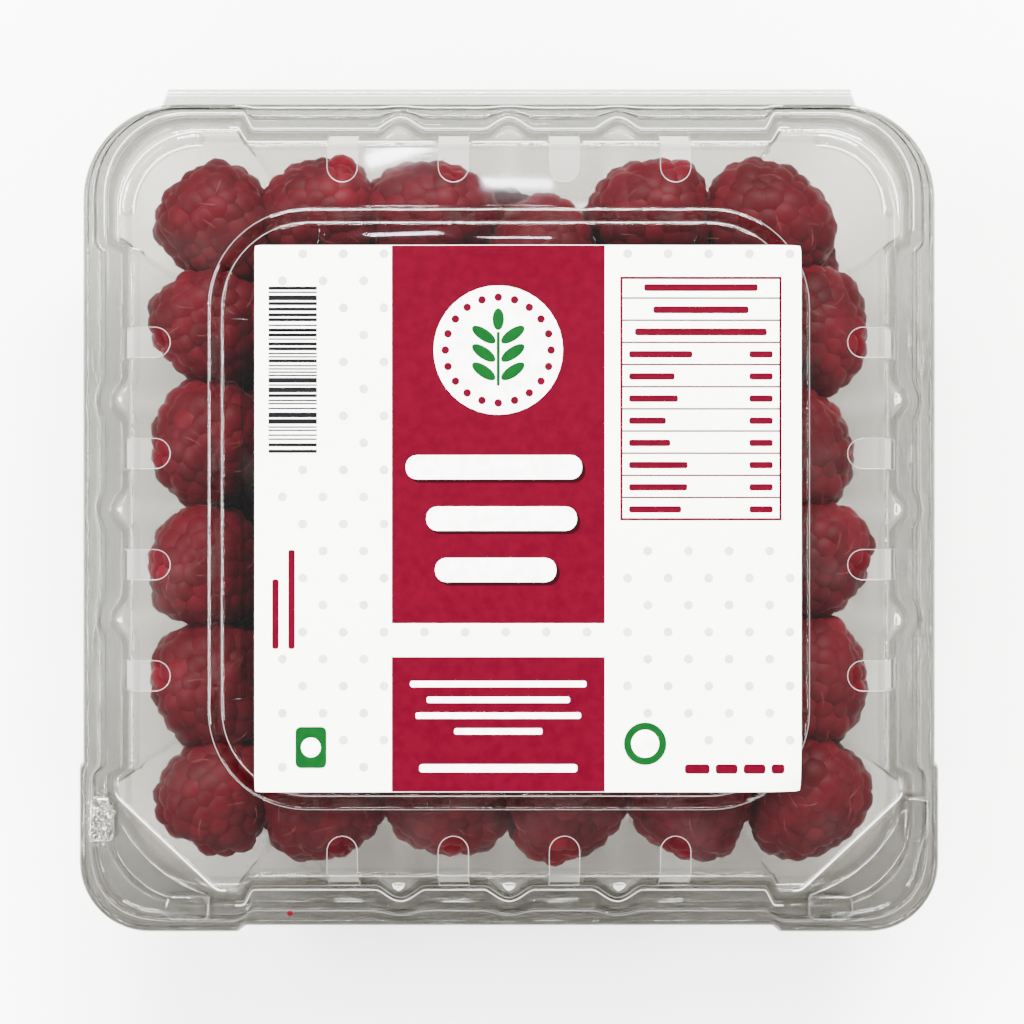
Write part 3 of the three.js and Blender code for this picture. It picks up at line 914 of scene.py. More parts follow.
def makePaintedGlints(rows, marks):
    up = np.array([0, 0, paintedGlints["lift"] * mm])
    # bright and faint painted highlights along the folds, the corner ridges and the lugs
    sets = (("bright", 0.75, 0.85, ridgeLines()), ("faint", 0.4, 0.35, lugLines()))
    for key, share, white, others in sets:
        lines = []
        for mark, kind, which in paintedGlints[key + "Lines"]:
            runs = glintRuns(rows[marks[mark]], kind, which)
            lines += [([point + up for point in run], False) for run in runs]
        name = key + "Creases"
        asLidPiece(strandsOf(name, lines + others, paintedGlints[key]), paintedGlintMaterial(name, share, white))


# painted highlights along both edges of each corner ridge
def ridgeLines():
    lines = []
    inX, inY = ridgeMiddle()
    for side, start, end in ((1, -2, 92), (-1, 88, 182)):
        for offset in (-0.5, 0.5):
            radius = (ridge["radius"] + offset * (ridge["width"] - 0.5)) * mm
            path = arcPath((side * inX, inY), radius, start, end)
            lines.append(([(x, y, pack["lidTop"] + 0.55 * mm) for x, y in path], False))
    return lines


# painted highlights round the top of each lug
def lugLines():
    lines = []
    top = pack["lidFloor"] + (lug["height"] + lug["lineUp"]) * mm
    long, wide = lug["length"] / 2 - lug["lineIn"], lug["width"] / 2 - lug["lineIn"]
    for x, y, across in lugSpots():
        halfX, halfY = (long, wide) if across else (wide, long)
        front = (0, -halfY)
        corners = [front, (halfX, -halfY), (halfX, halfY), (-halfX, halfY), (-halfX, -halfY), front]
        path = roundedPath(corners, [lug["round"] - 0.2] * 4, 5)[:-1]
        lines.append(([((x + a) * mm, (y + b) * mm, top) for a, b in path], True))
    return lines


# a whitish, partly clear strand: painted highlight
def paintedGlintMaterial(name, share, white):
    material, nodes, links, output = newMaterial(name)
    clear = nodes.new("ShaderNodeBsdfTransparent")
    feed(links, (0.9, 0.9, 0.89), clear.inputs["Color"])
    shine = addNode(nodes, "ShaderNodeBsdfPrincipled", Roughness=0.3)
    feed(links, (white, white, white * 0.98), shine.inputs["Base Color"])
    mix = mixedShader(nodes, links, share, clear, shine)
    links.new(mix.outputs[0], output.inputs["Surface"])
    return material


tubProfile = {
    "rimRound": 0.8, "baseRound": 1.9, "nestRound": 0.5, "nest": 2.5, "capInset": 4.0, "ribEnd": 3.0,
}


def tubRows():
    shape = tubProfile
    under = pack["rimTop"] / mm - 0.55
    rim, base = levels["tubRim"], levels["tubBase"]
    nestFoot, nestTop = levels["nestFoot"], levels["nestTop"]
    rows = []

    def addRow(outline, height):
        rows.append(np.column_stack([outline, np.full(len(outline), height * mm)]))

    cap = dict(nestTop, x=nestTop["x"] - shape["capInset"], y=nestTop["y"] - shape["capInset"],
               radius=nestTop["radius"] - shape["capInset"])
    nestLine = roundedPath(
        [(cap["x"], shape["nest"]), (nestTop["x"], shape["nest"]), (nestFoot["x"], 0.0),
         (nestFoot["x"] + 0.5, 0.0)],
        [shape["nestRound"]] * 2, 4,
    )
    for half, height in nestLine:
        level = blended(nestTop, nestFoot, (half - nestTop["x"]) / (nestFoot["x"] - nestTop["x"]))
        addRow(wallRing(level), height)
    wallLine = roundedPath(
        [(base["x"] - 3.4, 0.0), (base["x"], 0.0), (rim["x"], under), (rim["x"] + 0.75, under)],
        [shape["baseRound"], shape["rimRound"]], 6,
    )
    for half, height in wallLine:
        level = blended(base, rim, (half - base["x"]) / (rim["x"] - base["x"]))
        addRow(wallRing(level, eased(height, 0.4, shape["ribEnd"])), height)
    lipLine = roundedPath([(4.3, under), (0.5, under), (0.0, under - 0.9)], [0.4], 4)
    wallEnd = rows[-1][:, :2]
    for inset, height in lipLine:
        addRow(flangeRing(inset, wallEnd)[0], height)
    return [np.vstack([row, row[:1]]) for row in rows]


def makeTub():
    shell = makeShell("tubShell", tubRows(), normalsUp=False)
    applyModifier(shell, "SOLIDIFY", thickness=pack["sheet"], offset=-1)
    smooth(shell, 38)
    # the tub's front wall gets a darker tint: painted shade
    wall, front = plasticLook["tubWall"], plasticLook["tubFrontShade"]
    shell.data.materials.append(clearPlastic("tubPlastic", (0.0255, 0.0265), wall, wallFrontShade=front))
    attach(shell, "tub_body")
    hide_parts("tub")
    return shell


# The folded strip between tub and lid
fold = {"half": 48.3, "slant": 0.8, "from": 57.1, "bendY": 59.0, "top": 28.72, "bottom": 27.58, "sheet": 0.35}


def makeFold():
    middle = (fold["top"] + fold["bottom"]) / 2
    bend = (fold["top"] - fold["bottom"]) / 2
    line = [(y, fold["top"]) for y in np.linspace(fold["from"], fold["bendY"], 4)]
    for angle in np.linspace(0, math.pi, 9)[1:-1]:
        line.append((fold["bendY"] + bend * math.sin(angle), middle + bend * math.cos(angle)))
    line += [(y, fold["bottom"]) for y in np.linspace(fold["bendY"], fold["from"], 4)]
    rows = []
    for y, z in line:
        half = fold["half"] + fold["slant"] * (fold["bendY"] - y) / (fold["bendY"] - fold["from"])
        rows.append([(x * mm, y * mm, z * mm) for x in np.linspace(half, -half, 41)])
    piece = placedGrid("foldStrip", rows, closed=False)
    applyModifier(piece, "SOLIDIFY", thickness=fold["sheet"] * mm, offset=0)
    smooth(piece, 50)
    piece.data.materials.append(clearPlastic("foldPlastic", (0.1, 0.11), plasticLook["fold"]))
    # painted highlights: two whitish strands along the bend of the fold
    across = np.linspace(-fold["half"], fold["half"], 41) * mm
    places = ((fold["bendY"] + bend, middle), (fold["bendY"] - 0.3, fold["top"] + fold["sheet"] / 2))
    lines = [([(x, y * mm, z * mm) for x in across], False) for y, z in places]
    foldGlints = strandsOf("foldPaintedGlints", lines, 0.07)
    foldGlints.data.materials.append(paintedGlintMaterial("foldPaintedGlints", 0.7, 0.8))
    joinInto(piece, [foldGlints])
    x, y = 0, 59.35 * mm
    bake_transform(piece)
    return piece


# A drop of dried juice on the front of the flange
speck = {"x": -30.9, "y": -56.6, "radius": 0.42, "height": 0.12}


def makeSpeck():
    piece = newPiece("juiceSpeck", bpy.ops.mesh.primitive_uv_sphere_add, segments=16, ring_count=8, radius=1)
    place = Vector((speck["x"] * mm, speck["y"] * mm, pack["lidFloor"] + 0.6 * mm))
    size = Matrix.Diagonal((speck["radius"] * mm, speck["radius"] * mm, speck["height"] * mm, 1))
    piece.data.transform(Matrix.Translation(place) @ size)
    pick(piece)
    bpy.ops.object.shade_smooth()
    return asLidPiece(piece, inkMaterial("driedJuice", (0.07, 0.0, 0.004)))


# The heap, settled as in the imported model
berry = {
    "radius": 8.5, "halfLength": 9.7, "sides": 8, "shrink": 0.965,
    "profile": [(0, -0.9), (0.72, -0.86), (0.98, -0.42), (0.96, 0.1), (0.66, 0.7), (0, 1)],
}
heap = {
    # round the border: x, y, direction of the tip in degrees, share of full size
    "border": [
        (-38.6, 42, -50, 1.04), (-26.5, 38, 190, 0.98), (-11.5, 43, 10, 1.05), (2, 40, 80, 0.95),
        (14.5, 43, 180, 1.0), (31.5, 42.5, -20, 1.08), (45, 36, -75, 1.02), (44.5, 17.5, 95, 1.04),
        (43.5, -1, 250, 1.0), (44.5, -18, 80, 1.04), (43, -38.5, 235, 1.02), (31, -43, 160, 1.0),
        (14.5, -43, 20, 0.98), (-1.5, -43, 185, 1.05), (-20, -43, 5, 1.0), (-34.5, -42.5, 60, 0.98),
        (-44.5, 32.5, -60, 1.04), (-44.5, 13, 250, 1.04), (-44.5, -6.5, 95, 1.02), (-44.5, -26.5, -80, 1.08),
    ],
    "rows": [{"count": 4, "pitch": 17.6, "height": 26.2}, {"count": 5, "pitch": 19.4, "height": 10.5}],
    "strayed": 2, "sizeSpread": 0.06, "lengthSpread": 0.08, "lean": 30, "borderHeight": 26, "top": 35.3,
    "clear": 0.45, "sheet": 0.6, "rounds": 80, "nudges": 8, "touch": 0.95,
    "nestHeight": 2.5, "baseBevel": 1.5,
}
draw = {"seed": 4127}


def nextDraw():
    draw["seed"] = (draw["seed"] * 16807) % 2147483647
    return draw["seed"] / 2147483647


def startBerry(x, y, z, turn, share):
    size = share * (1 + heap["sizeSpread"] * (nextDraw() - 0.5))
    radius = berry["radius"] * size
    halfLength = berry["halfLength"] * size * (1 + heap["lengthSpread"] * (nextDraw() - 0.5))
    lean = heap["lean"] * (nextDraw() - 0.5)
    return {
        "place": np.array([x, y, z], float), "turn": turn, "lean": lean, "radius": radius,
        "halfLength": halfLength, "reach": (radius * 2 + halfLength) / 3,
    }


def innerHalf(height, axis):
    base, rim = levels["tubBase"][axis], levels["tubRim"][axis]
    top = pack["rimTop"] / mm
    return base + (rim - base) * min(height, top) / top - heap["sheet"] - heap["clear"]


def keepInside(one):
    reach, place = one["reach"], one["place"]
    blockY = pack["blockY"] / mm
    limitX = innerHalf(place[2], "x") - reach
    limitY = innerHalf(place[2], "y") - reach
    place[0] = max(-limitX, min(limitX, place[0]))
    place[1] = max(blockY - limitY, min(blockY + limitY, place[1]))
    nested = abs(place[0]) < levels["nestFoot"]["x"] and abs(place[1]) < levels["nestFoot"]["x"]
    floorZ = (heap["nestHeight"] if nested else 0) + heap["sheet"] + heap["clear"] + reach
    place[2] = max(floorZ, min(heap["top"] - reach, place[2]))


def settlePile():
    berries = [startBerry(x, y, heap["borderHeight"], turn, share) for x, y, turn, share in heap["border"]]
    for layer in heap["rows"]:
        count = layer["count"]
        for i in range(count * count):
            column = i % count - (count - 1) / 2
            row = i // count - (count - 1) / 2
            x = column * layer["pitch"] + heap["strayed"] * (nextDraw() - 0.5)
            y = pack["blockY"] / mm + row * layer["pitch"] + heap["strayed"] * (nextDraw() - 0.5)
            turn = 360 * nextDraw()
            berries.append(startBerry(x, y, layer["height"], turn, 1))
    for _ in range(heap["rounds"]):
        for i, one in enumerate(berries):
            for other in berries[i + 1:]:
                apart = other["place"] - one["place"]
                distance = math.sqrt(apart @ apart) + 1e-9
                push = (one["reach"] + other["reach"]) * heap["touch"] - distance
                if push > 0:
                    one["place"] -= apart / distance * push / 2
                    other["place"] += apart / distance * push / 2
        for one in berries:
            keepInside(one)
    return berries


def pastWalls(point):
    blockY = pack["blockY"] / mm
    radius = levels["tubBase"]["radius"] - heap["sheet"]
    outX = abs(point[0]) - innerHalf(point[2], "x") + radius
    outY = abs(point[1] - blockY) - innerHalf(point[2], "y") + radius
    inCorner = outX > 0 and outY > 0
    distance = math.hypot(outX, outY) if inCorner else max(outX, outY)
    wayX = outX / distance if inCorner else float(outX > outY)
    wayY = outY / distance if inCorner else float(outX <= outY)
    way = np.array([-np.sign(point[0]) * wayX, -np.sign(point[1] - blockY) * wayY, 0])
    return distance - radius, way


# Where a berry ends up once its outline is inside the walls
def berryPlace(one):
    points = []
    for i in range(berry["sides"] + 1):
        angle = i * 2 * math.pi / berry["sides"]
        for out, along in berry["profile"]:
            radius = out * one["radius"]
            points.append((radius * math.sin(angle), along * one["halfLength"], radius * math.cos(angle)))
    lean = np.array(Matrix.Rotation(math.radians(one["lean"]), 3, "X"))
    turn = np.array(Matrix.Rotation(math.radians(one["turn"] - 90), 3, "Z"))
    rotation = turn @ lean
    points = np.array(points) @ rotation.T + one["place"]
    shift = np.zeros(3)
    for _ in range(heap["nudges"]):
        past, way = max((pastWalls(point) for point in points), key=lambda found: found[0])
        lift = 0.0
        for point in points:
            nested = max(abs(point[0]), abs(point[1] - pack["blockY"] / mm)) < (
                levels["nestFoot"]["x"] + heap["sheet"] + heap["clear"]
            )
            rest = heap["nestHeight"] if nested else heap["baseBevel"] / 2
            lift = max(lift, heap["sheet"] + heap["clear"] + rest - point[2])
        move = way * max(past, 0.0) + np.array([0, 0, lift])
        points = points + move
        shift += move
    return Matrix.Translation((one["place"] + shift) * mm) @ Matrix(rotation.tolist()).to_4x4()


drupelet = {
    "pitch": 2.15, "radius": 2.5, "sunk": 0.95, "spread": 0.09, "kinds": 5, "core": 0.86, "soft": 0.5,
    "rowPitch": 0.9, "turned": 0.17, "offset": 0.2, "shifted": 0.32, "lifted": (-0.1, 0.18), "narrow": 0.93,
}
hair = {"length": 2.6, "width": 0.035, "perBerry": 26, "steps": 4, "tone": 3.0, "bend": 0.5, "taper": 0.6}


def berryCurve(along):
    if along > -0.25:
        return max(0.0, 1 - ((along + 0.25) / 1.25) ** 2.3) ** 0.6
    return max(0.0, 1 - ((-0.25 - along) / 0.72) ** 4) ** 0.5


def drupeletSpots(kind):
    chance = random.Random(100 + kind)
    inner = 1 - drupelet["radius"] * drupelet["sunk"] / berry["radius"]
    samples = np.linspace(-0.93, 1.0, 400)
    wide, long = berry["radius"] * inner, berry["halfLength"] * inner
    curve = np.array([(berryCurve(a) * wide, a * long) for a in samples])
    lengths = np.concatenate([[0], np.cumsum(np.hypot(*np.diff(curve, axis=0).T))])
    rowsCount = int(round(lengths[-1] / (drupelet["pitch"] * drupelet["rowPitch"])))
    spots = []
    for row in range(rowsCount + 1):
        at = lengths[-1] * row / rowsCount
        radius = float(np.interp(at, lengths, curve[:, 0]))
        along = float(np.interp(at, lengths, curve[:, 1]))
        ahead = [float(np.interp(min(at + 0.4, lengths[-1]), lengths, curve[:, axis])) for axis in (0, 1)]
        back = [float(np.interp(max(at - 0.4, 0), lengths, curve[:, axis])) for axis in (0, 1)]
        slope = np.array([ahead[1] - back[1], -(ahead[0] - back[0])])
        slope /= np.hypot(*slope)
        count = max(1, int(round(2 * math.pi * radius / drupelet["pitch"])))
        offset = (row % 2) * 0.5 + chance.uniform(-drupelet["offset"], drupelet["offset"])
        for i in range(count):
            turned = chance.uniform(-drupelet["turned"], drupelet["turned"])
            angle = 2 * math.pi * (i + offset + turned) / count
            shift = chance.uniform(-drupelet["shifted"], drupelet["shifted"])
            normal = Vector((slope[0] * math.sin(angle), slope[1], slope[0] * math.cos(angle)))
            place = Vector((radius * math.sin(angle), along + shift, radius * math.cos(angle)))
            size = 1 + chance.uniform(-drupelet["spread"], drupelet["spread"])
            lift = chance.uniform(*drupelet["lifted"])
            spots.append((place + normal * lift, normal.normalized(), size))
    return spots


def makeDrupelet():
    piece = newPiece("drupelet", bpy.ops.mesh.primitive_ico_sphere_add, subdivisions=2, radius=1)
    edit(piece)
    bpy.ops.mesh.select_all(action="SELECT")
    bpy.ops.mesh.bisect(plane_co=(0, 0, 0.02), plane_no=(0, 0, 1), clear_inner=True)
    done()
    return piece


# A fine dried hair that starts on a drupelet and curls over the skin: a thin three-sided strand
def hairPoints(chance, place, normal):
    start = np.array(place) + np.array(normal) * drupelet["radius"] * 0.96
    across = np.cross(np.array(normal), [chance.uniform(-1, 1), chance.uniform(-1, 1), chance.uniform(-1, 1)])
    across /= np.linalg.norm(across)
    bend = np.cross(across, np.array(normal)) * chance.uniform(-hair["bend"], hair["bend"])
    points, sides = [], []
    for step in range(hair["steps"] + 1):
        share = step / hair["steps"]
        rise = 0.55 * math.sin(math.pi * min(1.0, share * 1.15)) * hair["length"] * 0.3
        at = start + (across * share + bend * share * share) * hair["length"] + np.array(normal) * rise
        width = hair["width"] * (1 - hair["taper"] * share)
        for turn in range(3):
            angle = 2 * math.pi * turn / 3
            offset = np.array(normal) * math.cos(angle) + np.cross(across, np.array(normal)) * math.sin(angle)
            points.append((at + offset * width).tolist())
    for step in range(hair["steps"]):
        for turn in range(3):
            low, high = step * 3, step * 3 + 3
            after = (turn + 1) % 3
            sides.append((low + turn, low + after, high + after, high + turn))
    sides.append((2, 1, 0))
    last = hair["steps"] * 3
    sides.append((last, last + 1, last + 2))
    return points, sides


def makeBerry(kind, grain):
    core = newPiece("core", bpy.ops.mesh.primitive_uv_sphere_add, segments=20, ring_count=12, radius=1)
    fill = drupelet["core"]
    for vert in core.data.vertices:
        along = -vert.co.z
        radius = berryCurve(max(-0.93, min(0.999, along))) * berry["radius"] * fill
        flat = math.hypot(vert.co.x, vert.co.y)
        share = radius / flat if flat > 1e-6 else 0
        vert.co = (vert.co.x * share, along * berry["halfLength"] * fill, vert.co.y * share)
    core.data.update()
    base = np.array([tuple(v.co) for v in grain.data.vertices])
    faces = [tuple(p.vertices) for p in grain.data.polygons]
    points, polygons, tones = [], [], []
    chance = random.Random(300 + kind)
    spots = drupeletSpots(kind)
    for place, normal, size in spots:
        turn = normal.to_track_quat("Z", "Y").to_matrix()
        scale = drupelet["radius"] * size
        shaped = base * np.array([scale * drupelet["narrow"], scale * drupelet["narrow"], scale])
        moved = shaped @ np.array(turn).T + np.array(place)
        start = len(points)
        points.extend(moved.tolist())
        polygons.extend(tuple(start + i for i in face) for face in faces)
        tones.extend([chance.random()] * len(base))
    for _ in range(hair["perBerry"]):
        strand, sides = hairPoints(chance, *chance.choice(spots)[:2])
        start = len(points)
        points.extend(strand)
        polygons.extend(tuple(start + i for i in face) for face in sides)
        tones.extend([hair["tone"]] * len(strand))
    grains = meshPiece(f"drupelets{kind}", points, polygons)
    for piece, values in ((grains, tones), (core, [0.0] * len(core.data.vertices))):
        piece.data.attributes.new("tone", "FLOAT", "POINT").data.foreach_set("value", values)
    joinInto(core, [grains])
    core.name = f"berryKind{kind}"
    edit(core)
    bpy.ops.mesh.select_all(action="SELECT")
    bpy.ops.mesh.normals_make_consistent(inside=False)
    done()
    pick(core)
    bpy.ops.object.shade_smooth()
    softenCreases(core)
    return core


# The skin's shading leans towards the berry's whole form, so that drupelets run softly into each other
def softenCreases(core):
    lean = drupelet["soft"]
    flat, long = berry["radius"] ** 2, berry["halfLength"] ** 2
    normals = []
    for vert in core.data.vertices:
        whole = Vector((vert.co.x / flat, vert.co.y / long, vert.co.z / flat)).normalized()
        normals.append((vert.normal * (1 - lean) + whole * lean).normalized())
    core.data.normals_split_custom_set_from_vertices(normals)


berryLook = {
    "deep": (0.022, 0.0002, 0.0015), "mid": (0.038, 0.0003, 0.0027), "bright": (0.055, 0.0008, 0.0042),
    "hair": (0.17, 0.055, 0.055), "roughness": 0.52, "specular": 0.06,
}


def berryFlesh():
    look = berryLook
    material, nodes, links, output = newMaterial("berryFlesh")
    shader = addNode(
        nodes, "ShaderNodeBsdfPrincipled", Roughness=look["roughness"], Specular_IOR_Level=look["specular"],
        Sheen_Weight=0.02, Sheen_Roughness=0.45, Sheen_Tint=(1.0, 0.75, 0.78, 1),
    )
    tone = addNode(nodes, "ShaderNodeAttribute", attribute_name="tone").outputs["Fac"]
    mixed = mathNode(nodes, links, "MULTIPLY", noiseAt(nodes, links, 120), 0.9)
    share = mathNode(nodes, links, "MULTIPLY", tone, 0.35)
    share = mathNode(nodes, links, "ADD", share, mixed)
    skin = colourRamp(nodes, links, share, [(0.25, look["deep"]), (0.6, look["mid"]), (0.95, look["bright"])])
    onHair = ramped(nodes, links, tone, 1.4, 2.4, 0.0, 1.0)
    colour = mixedColour(nodes, links, onHair, skin, look["hair"])
    links.new(colour, shader.inputs["Base Color"])
    links.new(shader.outputs[0], output.inputs["Surface"])
    return material


def makeHeap():
    grain = makeDrupelet()
    kinds = [makeBerry(kind, grain) for kind in range(drupelet["kinds"])]
    bpy.data.objects.remove(grain)
    flesh = berryFlesh()
    berries = settlePile()
    border = len(heap["border"])
    upper = border + heap["rows"][0]["count"] ** 2
    groups = {"raspberriesBorder": berries[:border], "raspberriesUpper": berries[border:upper],
              "raspberriesLowerA": berries[upper:upper + 13], "raspberriesLowerB": berries[upper + 13:]}
    chance = random.Random(77)
    pieces = []
    for name, group in groups.items():
        copies = []
        for one in group:
            twin = copyOf(kinds[chance.randrange(len(kinds))], "berry")
            size = one["radius"] / berry["radius"] * berry["shrink"] * mm
            longer = one["halfLength"] / berry["halfLength"] * berry["shrink"] * mm
            spin = Matrix.Rotation(chance.uniform(0, 2 * math.pi), 4, "Y")
            scale = Matrix.Diagonal((size, longer, size, 1))
            twin.data.transform(berryPlace(one) @ scale @ spin)
            copies.append(twin)
        piece = copies[0]
        joinInto(piece, copies[1:])
        piece.name = name
        piece.data.name = name
        piece.data.materials.append(flesh)
        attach(piece, "tub_body")
        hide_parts("raspberries")
        pieces.append(piece)
    for kind in kinds:
        bpy.data.objects.remove(kind)
    return pieces


makeHeap()
print("raspberries made")
makeTub()
makeLid()
makeVentGlints()
makeFold()
makeSpeck()
print("tub, lid and fold made")


# The label: paper that follows the panel with slight waves, droops past its round corners, lifts a
# little in the middle of its back edge and carries fields of colour
paper = {
    "half": (labelBox[1].x - labelBox[0].x) / 2, "x": (labelBox[1].x + labelBox[0].x) / 2,
    "y": (labelBox[1].y + labelBox[0].y) / 2, "z": labelBox[0].z + 0.16 * mm, "thickness": 0.14 * mm,
    "steps": 96, "wave": 0.05 * mm, "droop": 0.055 / mm, "inkLift": 0.012 * mm, "inkThickness": 0.02 * mm,
    "corner": 0.35 * mm, "lift": 0.35 * mm, "liftFrom": 0.030, "liftTo": 0.037,
}


def paperHeight(x, y):
    wave = math.sin(x * 95 + 1.2) * math.sin(y * 70 + 0.4) + 0.6 * math.sin(x * 210 + y * 160)
    level = levels["panelTop"]
    centre = (level["x"] - level["radius"]) * mm
    away = math.hypot(max(0, abs(x) - centre), max(0, abs(y - pack["blockY"]) - centre))
    corner = max(0.0, away - (level["radius"] - 0.4) * mm)
    lift = paper["lift"] * eased(y, paper["liftFrom"], paper["liftTo"])
    lift *= eased(x, -0.02, 0.0) * eased(-x, -0.03, 0.0)
    return paper["z"] + paper["wave"] * wave - paper["droop"] * corner * corner + lift


def paperMaterial():
    material, nodes, links, output = newMaterial("labelPaper")
    shader = addNode(nodes, "ShaderNodeBsdfPrincipled", Roughness=0.42)
    fibre = noiseAt(nodes, links, 900, 5.0)
    cloud = ramped(nodes, links, noiseAt(nodes, links, 35), 0.35, 0.65, 0.0, 0.6)
    tone = mathNode(nodes, links, "ADD", ramped(nodes, links, fibre, 0.3, 0.7, 0.0, 0.4), cloud)
    white = colourRamp(nodes, links, tone, [(0, (0.84, 0.845, 0.8)), (1, (0.93, 0.93, 0.89))])
    links.new(white, shader.inputs["Base Color"])
    bump = addNode(nodes, "ShaderNodeBump", Strength=0.12, Distance=0.0001)
    links.new(fibre, bump.inputs["Height"])
    links.new(bump.outputs["Normal"], shader.inputs["Normal"])
    links.new(shader.outputs[0], output.inputs["Surface"])
    return material


def asLabelPiece(piece, material):
    piece.data.materials.append(material)
    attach(piece, "lid_body")
    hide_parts("label")
    return piece


def makePaper():
    rows = []
    for j in range(paper["steps"] + 1):
        row = []
        for i in range(paper["steps"] + 1):
            u, v = 2 * i / paper["steps"] - 1, 2 * j / paper["steps"] - 1
            x, y = u * paper["half"], v * paper["half"]
            inset = paper["half"] - paper["corner"]
            pastX, pastY = max(0, abs(x) - inset), max(0, abs(y) - inset)
            past = math.hypot(pastX, pastY)
            if past > paper["corner"]:
                x -= math.copysign(pastX * (1 - paper["corner"] / past), x)
                y -= math.copysign(pastY * (1 - paper["corner"] / past), y)
            x, y = x + paper["x"], y + paper["y"]
            row.append((x, y, paperHeight(x, y)))
        rows.append(row)
    piece = placedGrid("labelSheet", rows, closed=False)
    applyModifier(piece, "SOLIDIFY", thickness=paper["thickness"], offset=-1)
    smooth(piece, 50)
    return asLabelPiece(piece, paperMaterial())


# Shapes of ink, in millimetres from the label's lower left corner
def box(left, bottom, width, height, round=0.0):
    if not round:
        right, top = left + width, bottom + height
        return [(left, bottom), (right, bottom), (right, top), (left, top)]
    points = []
    for cx, cy, first in (
        (left + width - round, bottom + round, -90), (left + width - round, bottom + height - round, 0),
        (left + round, bottom + height - round, 90), (left + round, bottom + round, 180),
    ):
        for step in range(5):
            angle = math.radians(first + 90 * step / 4)
            points.append((cx + round * math.cos(angle), cy + round * math.sin(angle)))
    return points


def disc(x, y, radius, count=14, stretch=1.0, turn=0.0):
    points = []
    cos, sin = math.cos(turn), math.sin(turn)
    for step in range(count):
        angle = 2 * math.pi * step / count
        a, b = radius * math.cos(angle), radius * stretch * math.sin(angle)
        points.append((x + a * cos - b * sin, y + a * sin + b * cos))
    return points


def frameLines(left, bottom, width, height, line):
    return [box(left, bottom, width, line), box(left, bottom + height - line, width, line),
            box(left, bottom + line, line, height - 2 * line),
            box(left + width - line, bottom + line, line, height - 2 * line)]


fields = {
    "column": {"left": 18.7, "right": 47.7, "low": 23.0},
    "block": {"left": 18.7, "right": 47.7, "top": 18.4},
    "emblem": {"x": 33.2, "y": 60.2, "radius": 8.8, "ring": 7.2, "dots": 20},
    "table": {"left": 49.8, "bottom": 37.0, "width": 22.0, "height": 33.2, "line": 0.22, "rows": 11},
    "bars": {"left": 1.9, "width": 6.6, "bottom": 46.2, "height": 22.4},
    "dots": {"across": 5.53, "up": 7.36, "radius": 0.62, "x": 3.8, "y": 3.4},
}


def crimsonShapes():
    column, block, table = fields["column"], fields["block"], fields["table"]
    size = 2 * paper["half"] / mm
    edge = 0.06
    wide = column["right"] - column["left"]
    shapes = [
        box(column["left"], column["low"], wide, size - edge - column["low"]),
        box(block["left"], edge, block["right"] - block["left"], block["top"] - edge),
    ]
    shapes += frameLines(table["left"], table["bottom"], table["width"], table["height"], table["line"] * 1.5)
    step = table["height"] / table["rows"]
    chance = random.Random(12)
    for row in range(table["rows"]):
        bottom = table["bottom"] + row * step
        if row:
            shapes.append(box(table["left"], bottom, table["width"], table["line"]))
        middle = bottom + step / 2 - 0.45
        if row >= table["rows"] - 3:
            width = 13 + 2.5 * (row % 3)
            shapes.append(box(table["left"] + (table["width"] - width) / 2, middle, width, 0.95, 0.3))
        else:
            shapes.append(box(table["left"] + 1.2, middle, chance.uniform(5, 9.5), 0.9, 0.3))
            shapes.append(box(table["left"] + table["width"] - 4.4, middle, 3.2, 0.9, 0.3))
    for x, length in ((2.4, 9.5), (4.6, 13.5)):
        shapes.append(box(x, 19.5, 0.9, length, 0.3))
    for left, width in ((58.6, 3.4), (62.8, 3.0), (66.6, 3.0), (70.4, 1.8)):
        shapes.append(box(left, 2.5, width, 1.3, 0.4))
    return shapes


def whiteShapes():
    shapes = []
    # three soft bars, a round field for the emblem and thinner bars low down
    for left, bottom, width in ((20.6, 42.6, 24), (23.4, 35.6, 20.5), (24.6, 28.6, 16.5)):
        shapes.append(box(left, bottom, width, 3.3, 1.5))
    emblem = fields["emblem"]
    shapes.append(disc(emblem["x"], emblem["y"], emblem["radius"], 40))
    for row, width in enumerate((24.0, 19.5, 22.5, 12.0)):
        shapes.append(box(emblem["x"] - width / 2, 14.3 - row * 2.15, width, 0.85, 0.3))
    shapes.append(box(emblem["x"] - 10.75, 2.7, 21.5, 1.1, 0.4))
    return shapes


def shadeShapes():
    return [[(x + 0.45, y - 0.45) for x, y in shape] for shape in whiteShapes()[:3]]


def barShapes():
    bars = fields["bars"]
    chance = random.Random(5)
    shapes = []
    place = 0.0
    while place < bars["height"]:
        thick = chance.choice((0.22, 0.22, 0.44, 0.66))
        gap = chance.choice((0.22, 0.33, 0.44))
        shapes.append(box(bars["left"], bars["bottom"] + place, bars["width"], thick))
        place += thick + gap
    return shapes


def emblemShapes():
    # a ring of small dots
    emblem = fields["emblem"]
    shapes = []
    for i in range(emblem["dots"]):
        angle = 2 * math.pi * i / emblem["dots"]
        x, y = emblem["ring"] * math.cos(angle), emblem["ring"] * math.sin(angle)
        shapes.append(disc(emblem["x"] + x, emblem["y"] + y, 0.55, 12))
    return shapes


def greenShapes():
    # a sprig of paired leaves inside the ring, then two plain marks
    emblem = fields["emblem"]
    shapes = [box(emblem["x"] - 0.22, emblem["y"] - 4.9, 0.44, 7.4, 0.2)]
    for up in (-2.9, -0.4, 2.1):
        for side in (-1, 1):
            shapes.append(disc(emblem["x"] + side * 1.98, emblem["y"] + up, 1.9, 16, 0.42, side * 0.6))
    shapes.append(disc(emblem["x"], emblem["y"] + 4.2, 0.8, 14, 1.9))
    shapes.append(box(5.6, 3.3, 4.2, 5.6, 0.7))
    shapes.append(disc(53.2, 6.6, 2.9, 28))
    return shapes


def paleShapes():
    return [disc(7.7, 6.1, 1.35, 16), disc(53.2, 6.6, 1.9, 24)]


